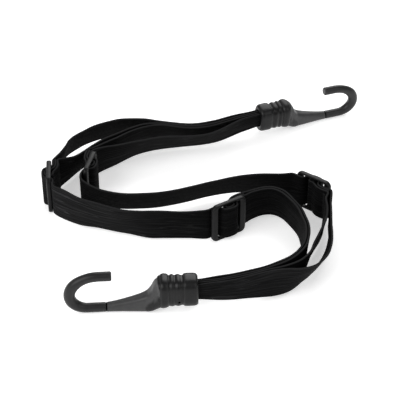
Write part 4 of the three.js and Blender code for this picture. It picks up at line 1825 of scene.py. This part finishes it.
        # Name, first and last ring, the two bodies it lies between, and the rings that stay on either.
        plan = [
            ("rear_sewn", 0, tail, (rear, "webbing"), at["rear_end"][[-1]], [tail]),
            ("rear_loop", tail, run, ("webbing", rear_hook), [tail, run], rear_mouth),
            ("rear_weave", run, main_start, (rear, "webbing"), at["rear_weave"][[0]], [run]),
            ("rear_main", main_start, middle, (rear, "webbing"), [main_start], [middle]),
            ("front_main", middle, main_end, ("webbing", front), [middle], [main_end]),
            ("front_weave", main_end, front_run, (front, "webbing"), at["front_weave"][[-1]], [front_run]),
            ("front_loop", front_run, front_tail, ("webbing", front_hook), front_cuts, front_mouth),
            ("front_sewn", front_tail, last, (front, "webbing"), at["front_end"][[0]], [front_tail]),
        ]
        made = []
        for name, start, stop, bodies, before, after in plan:
            piece = self.piece(name, sweep, slice(start, stop + 1))
            self.blend_between(piece, sweep.rings[before], sweep.rings[after])
            made.append(piece)
        return made


# Studio

@dataclass(frozen=True)
class Lamp:
    """A square soft light that faces the middle of the strap: place, side, and power in watts."""

    name: str
    place: Triple
    side: float
    power: float

    def build(self) -> None:
        """Hangs the lamp and turns it down to the origin."""
        data = bpy.data.lights.new(self.name, "AREA")
        data.shape = "SQUARE"
        data.size = self.side
        data.energy = self.power
        lamp = add_object(self.name, data)
        lamp.location = self.place
        x, y, height = self.place
        lamp.rotation_euler = (math.atan2(math.hypot(x, y), height), 0.0, math.atan2(x, -y))


LAMPS = (
    Lamp("key_light", (-1.1, -0.9, 1.0), 1.2, 18.0),
    Lamp("fill_light", (1.1, -0.9, 1.1), 1.4, 7.0),
    Lamp("back_light", (0.2, 1.2, 1.0), 1.2, 15.0),
)


@dataclass
class Studio:
    """Pale floor, soft lights and the camera at the photographed angle."""

    palette: Palette
    elevation: float = 36.0
    distance: float = 0.887
    aim_height: float = -0.001
    sensor: float = 36.0
    image_width: float = 400.0
    focal_pixels: float = 1205.0
    floor_half: float = 6.0
    floor_level: float = -0.0001
    sky: float = 0.3

    def camera(self) -> None:
        """The camera: it looks along +Y and down at the middle of the photographed layout."""
        data = bpy.data.cameras.new("studio_camera")
        data.sensor_width = self.sensor
        data.lens = self.focal_pixels / self.image_width * self.sensor
        data.clip_start, data.clip_end = 0.01, 50.0
        camera = add_object("studio_camera", data)
        tilt = math.radians(self.elevation)
        back = self.distance * np.array([0.0, -math.cos(tilt), math.sin(tilt)])
        camera.location = np.array([SHIFT[0], SHIFT[1], self.aim_height]) + back
        camera.rotation_euler = (math.radians(90.0 - self.elevation), 0.0, 0.0)
        bpy.context.scene.camera = camera

    def floor(self) -> None:
        """A wide flat floor just under the strap."""
        mesh = bpy.data.meshes.new("floor")
        corners = np.array([[-1, -1], [1, -1], [1, 1], [-1, 1]]) * self.floor_half
        points = np.column_stack([corners, np.full(4, self.floor_level)])
        mesh.from_pydata(points.tolist(), [], [[0, 1, 2, 3]])
        mesh.materials.append(self.palette.floor)
        add_object("floor", mesh)

    def daylight(self) -> None:
        """Even white light from all sides, shown without any film curve."""
        world = bpy.data.worlds.new("studio_world")
        world.use_nodes = True
        background = world.node_tree.nodes["Background"]
        background.inputs["Color"].default_value = (1.0, 1.0, 1.0, 1.0)
        background.inputs["Strength"].default_value = self.sky
        bpy.context.scene.world = world
        bpy.context.scene.view_settings.view_transform = "Standard"

    def build(self) -> None:
        """Sets up the whole studio."""
        self.camera()
        self.floor()
        self.daylight()
        for lamp in LAMPS:
            lamp.build()


# The strap

def make_sliders(palette: Palette) -> dict[str, Slider]:
    """The four sliders at their places.

    Args:
        palette: The finished materials.

    Returns:
        The sliders by name.
    """
    sliders = [
        Slider("outer_rear_slider", palette, x=-0.1088, y=-0.005, heading=95, face=1),
        Slider("inner_rear_slider", palette, x=-0.080, y=0.007, heading=79, face=-1),
        Slider("outer_front_slider", palette, x=0.0198, y=-0.0439, heading=33, face=-1),
        Slider("inner_front_slider", palette, x=0.0813, y=-0.0142, heading=-38, face=1),
    ]
    return {slider.name: slider for slider in sliders}


def make_hooks(palette: Palette) -> dict[End, Hook]:
    """The two hooks at their places.

    Args:
        palette: The finished materials.

    Returns:
        The hooks by end.
    """
    rear = Hook(End.REAR, palette, x=0.0456, y=0.088, yaw=21, lean=10, outer_side=1)
    front = Hook(End.FRONT, palette, x=-0.0014, y=-0.1198, yaw=184, lean=0, outer_side=-1)
    return {End.REAR: rear, End.FRONT: front}


def make_straps(palette: Palette, sliders: dict[str, Slider], hooks: dict[End, Hook]) -> list[Strap]:
    """The outer and the inner band.

    Args:
        palette: The finished materials.
        sliders: The sliders by name.
        hooks: The hooks by end.

    Returns:
        Both straps, not yet built.
    """
    ends = {"rear_hook": hooks[End.REAR], "front_hook": hooks[End.FRONT]}
    front_run = route(FRONT_OUTER_RUN)
    outer = Strap(
        "outer_strap",
        palette,
        rear_slider=sliders["outer_rear_slider"],
        front_slider=sliders["outer_front_slider"],
        **ends,
        side=1,
        rear_run=route(REAR_OUTER_RUN),
        rear_tail=route(REAR_OUTER_TAIL),
        main=route(OUTER_MAIN),
        front_run=front_run,
        front_tail=beside(front_run, PITCH + LAYER_PLAY)[1:],
        cuts=Cuts(rear_tail=4, rear_run=4, main=4, front_run=6, front_tail=5),
        worn=OUTER_LIT_PALING,
    )
    inner = Strap(
        "inner_strap",
        palette,
        rear_slider=sliders["inner_rear_slider"],
        front_slider=sliders["inner_front_slider"],
        **ends,
        side=-1,
        rear_run=route(REAR_INNER_RUN),
        rear_tail=route(REAR_INNER_TAIL),
        main=route(INNER_MAIN),
        front_run=route(FRONT_INNER_RUN),
        front_tail=route(FRONT_INNER_TAIL),
        cuts=Cuts(rear_tail=2, rear_run=2, main=5, front_run=4, front_tail=3),
        worn=INNER_LIT_PALING,
    )
    return [outer, inner]


def write_sizes() -> None:
    """Brings the view layer up to date."""
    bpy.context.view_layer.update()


def main() -> None:
    """Builds the studio, then each sub-assembly, and reports every piece."""
    logging.basicConfig(level=logging.INFO, format="%(message)s")
    palette = make_palette()
    Studio(palette).build()
    sliders = make_sliders(palette)
    hooks = make_hooks(palette)
    straps = make_straps(palette, sliders, hooks)
    for assembly in (*straps, *sliders.values(), *hooks.values()):
        for piece in assembly.build():
            LOG.info("%s: %d faces", piece.name, len(piece.data.polygons))
    write_sizes()


if __name__ == "__main__":
    main()
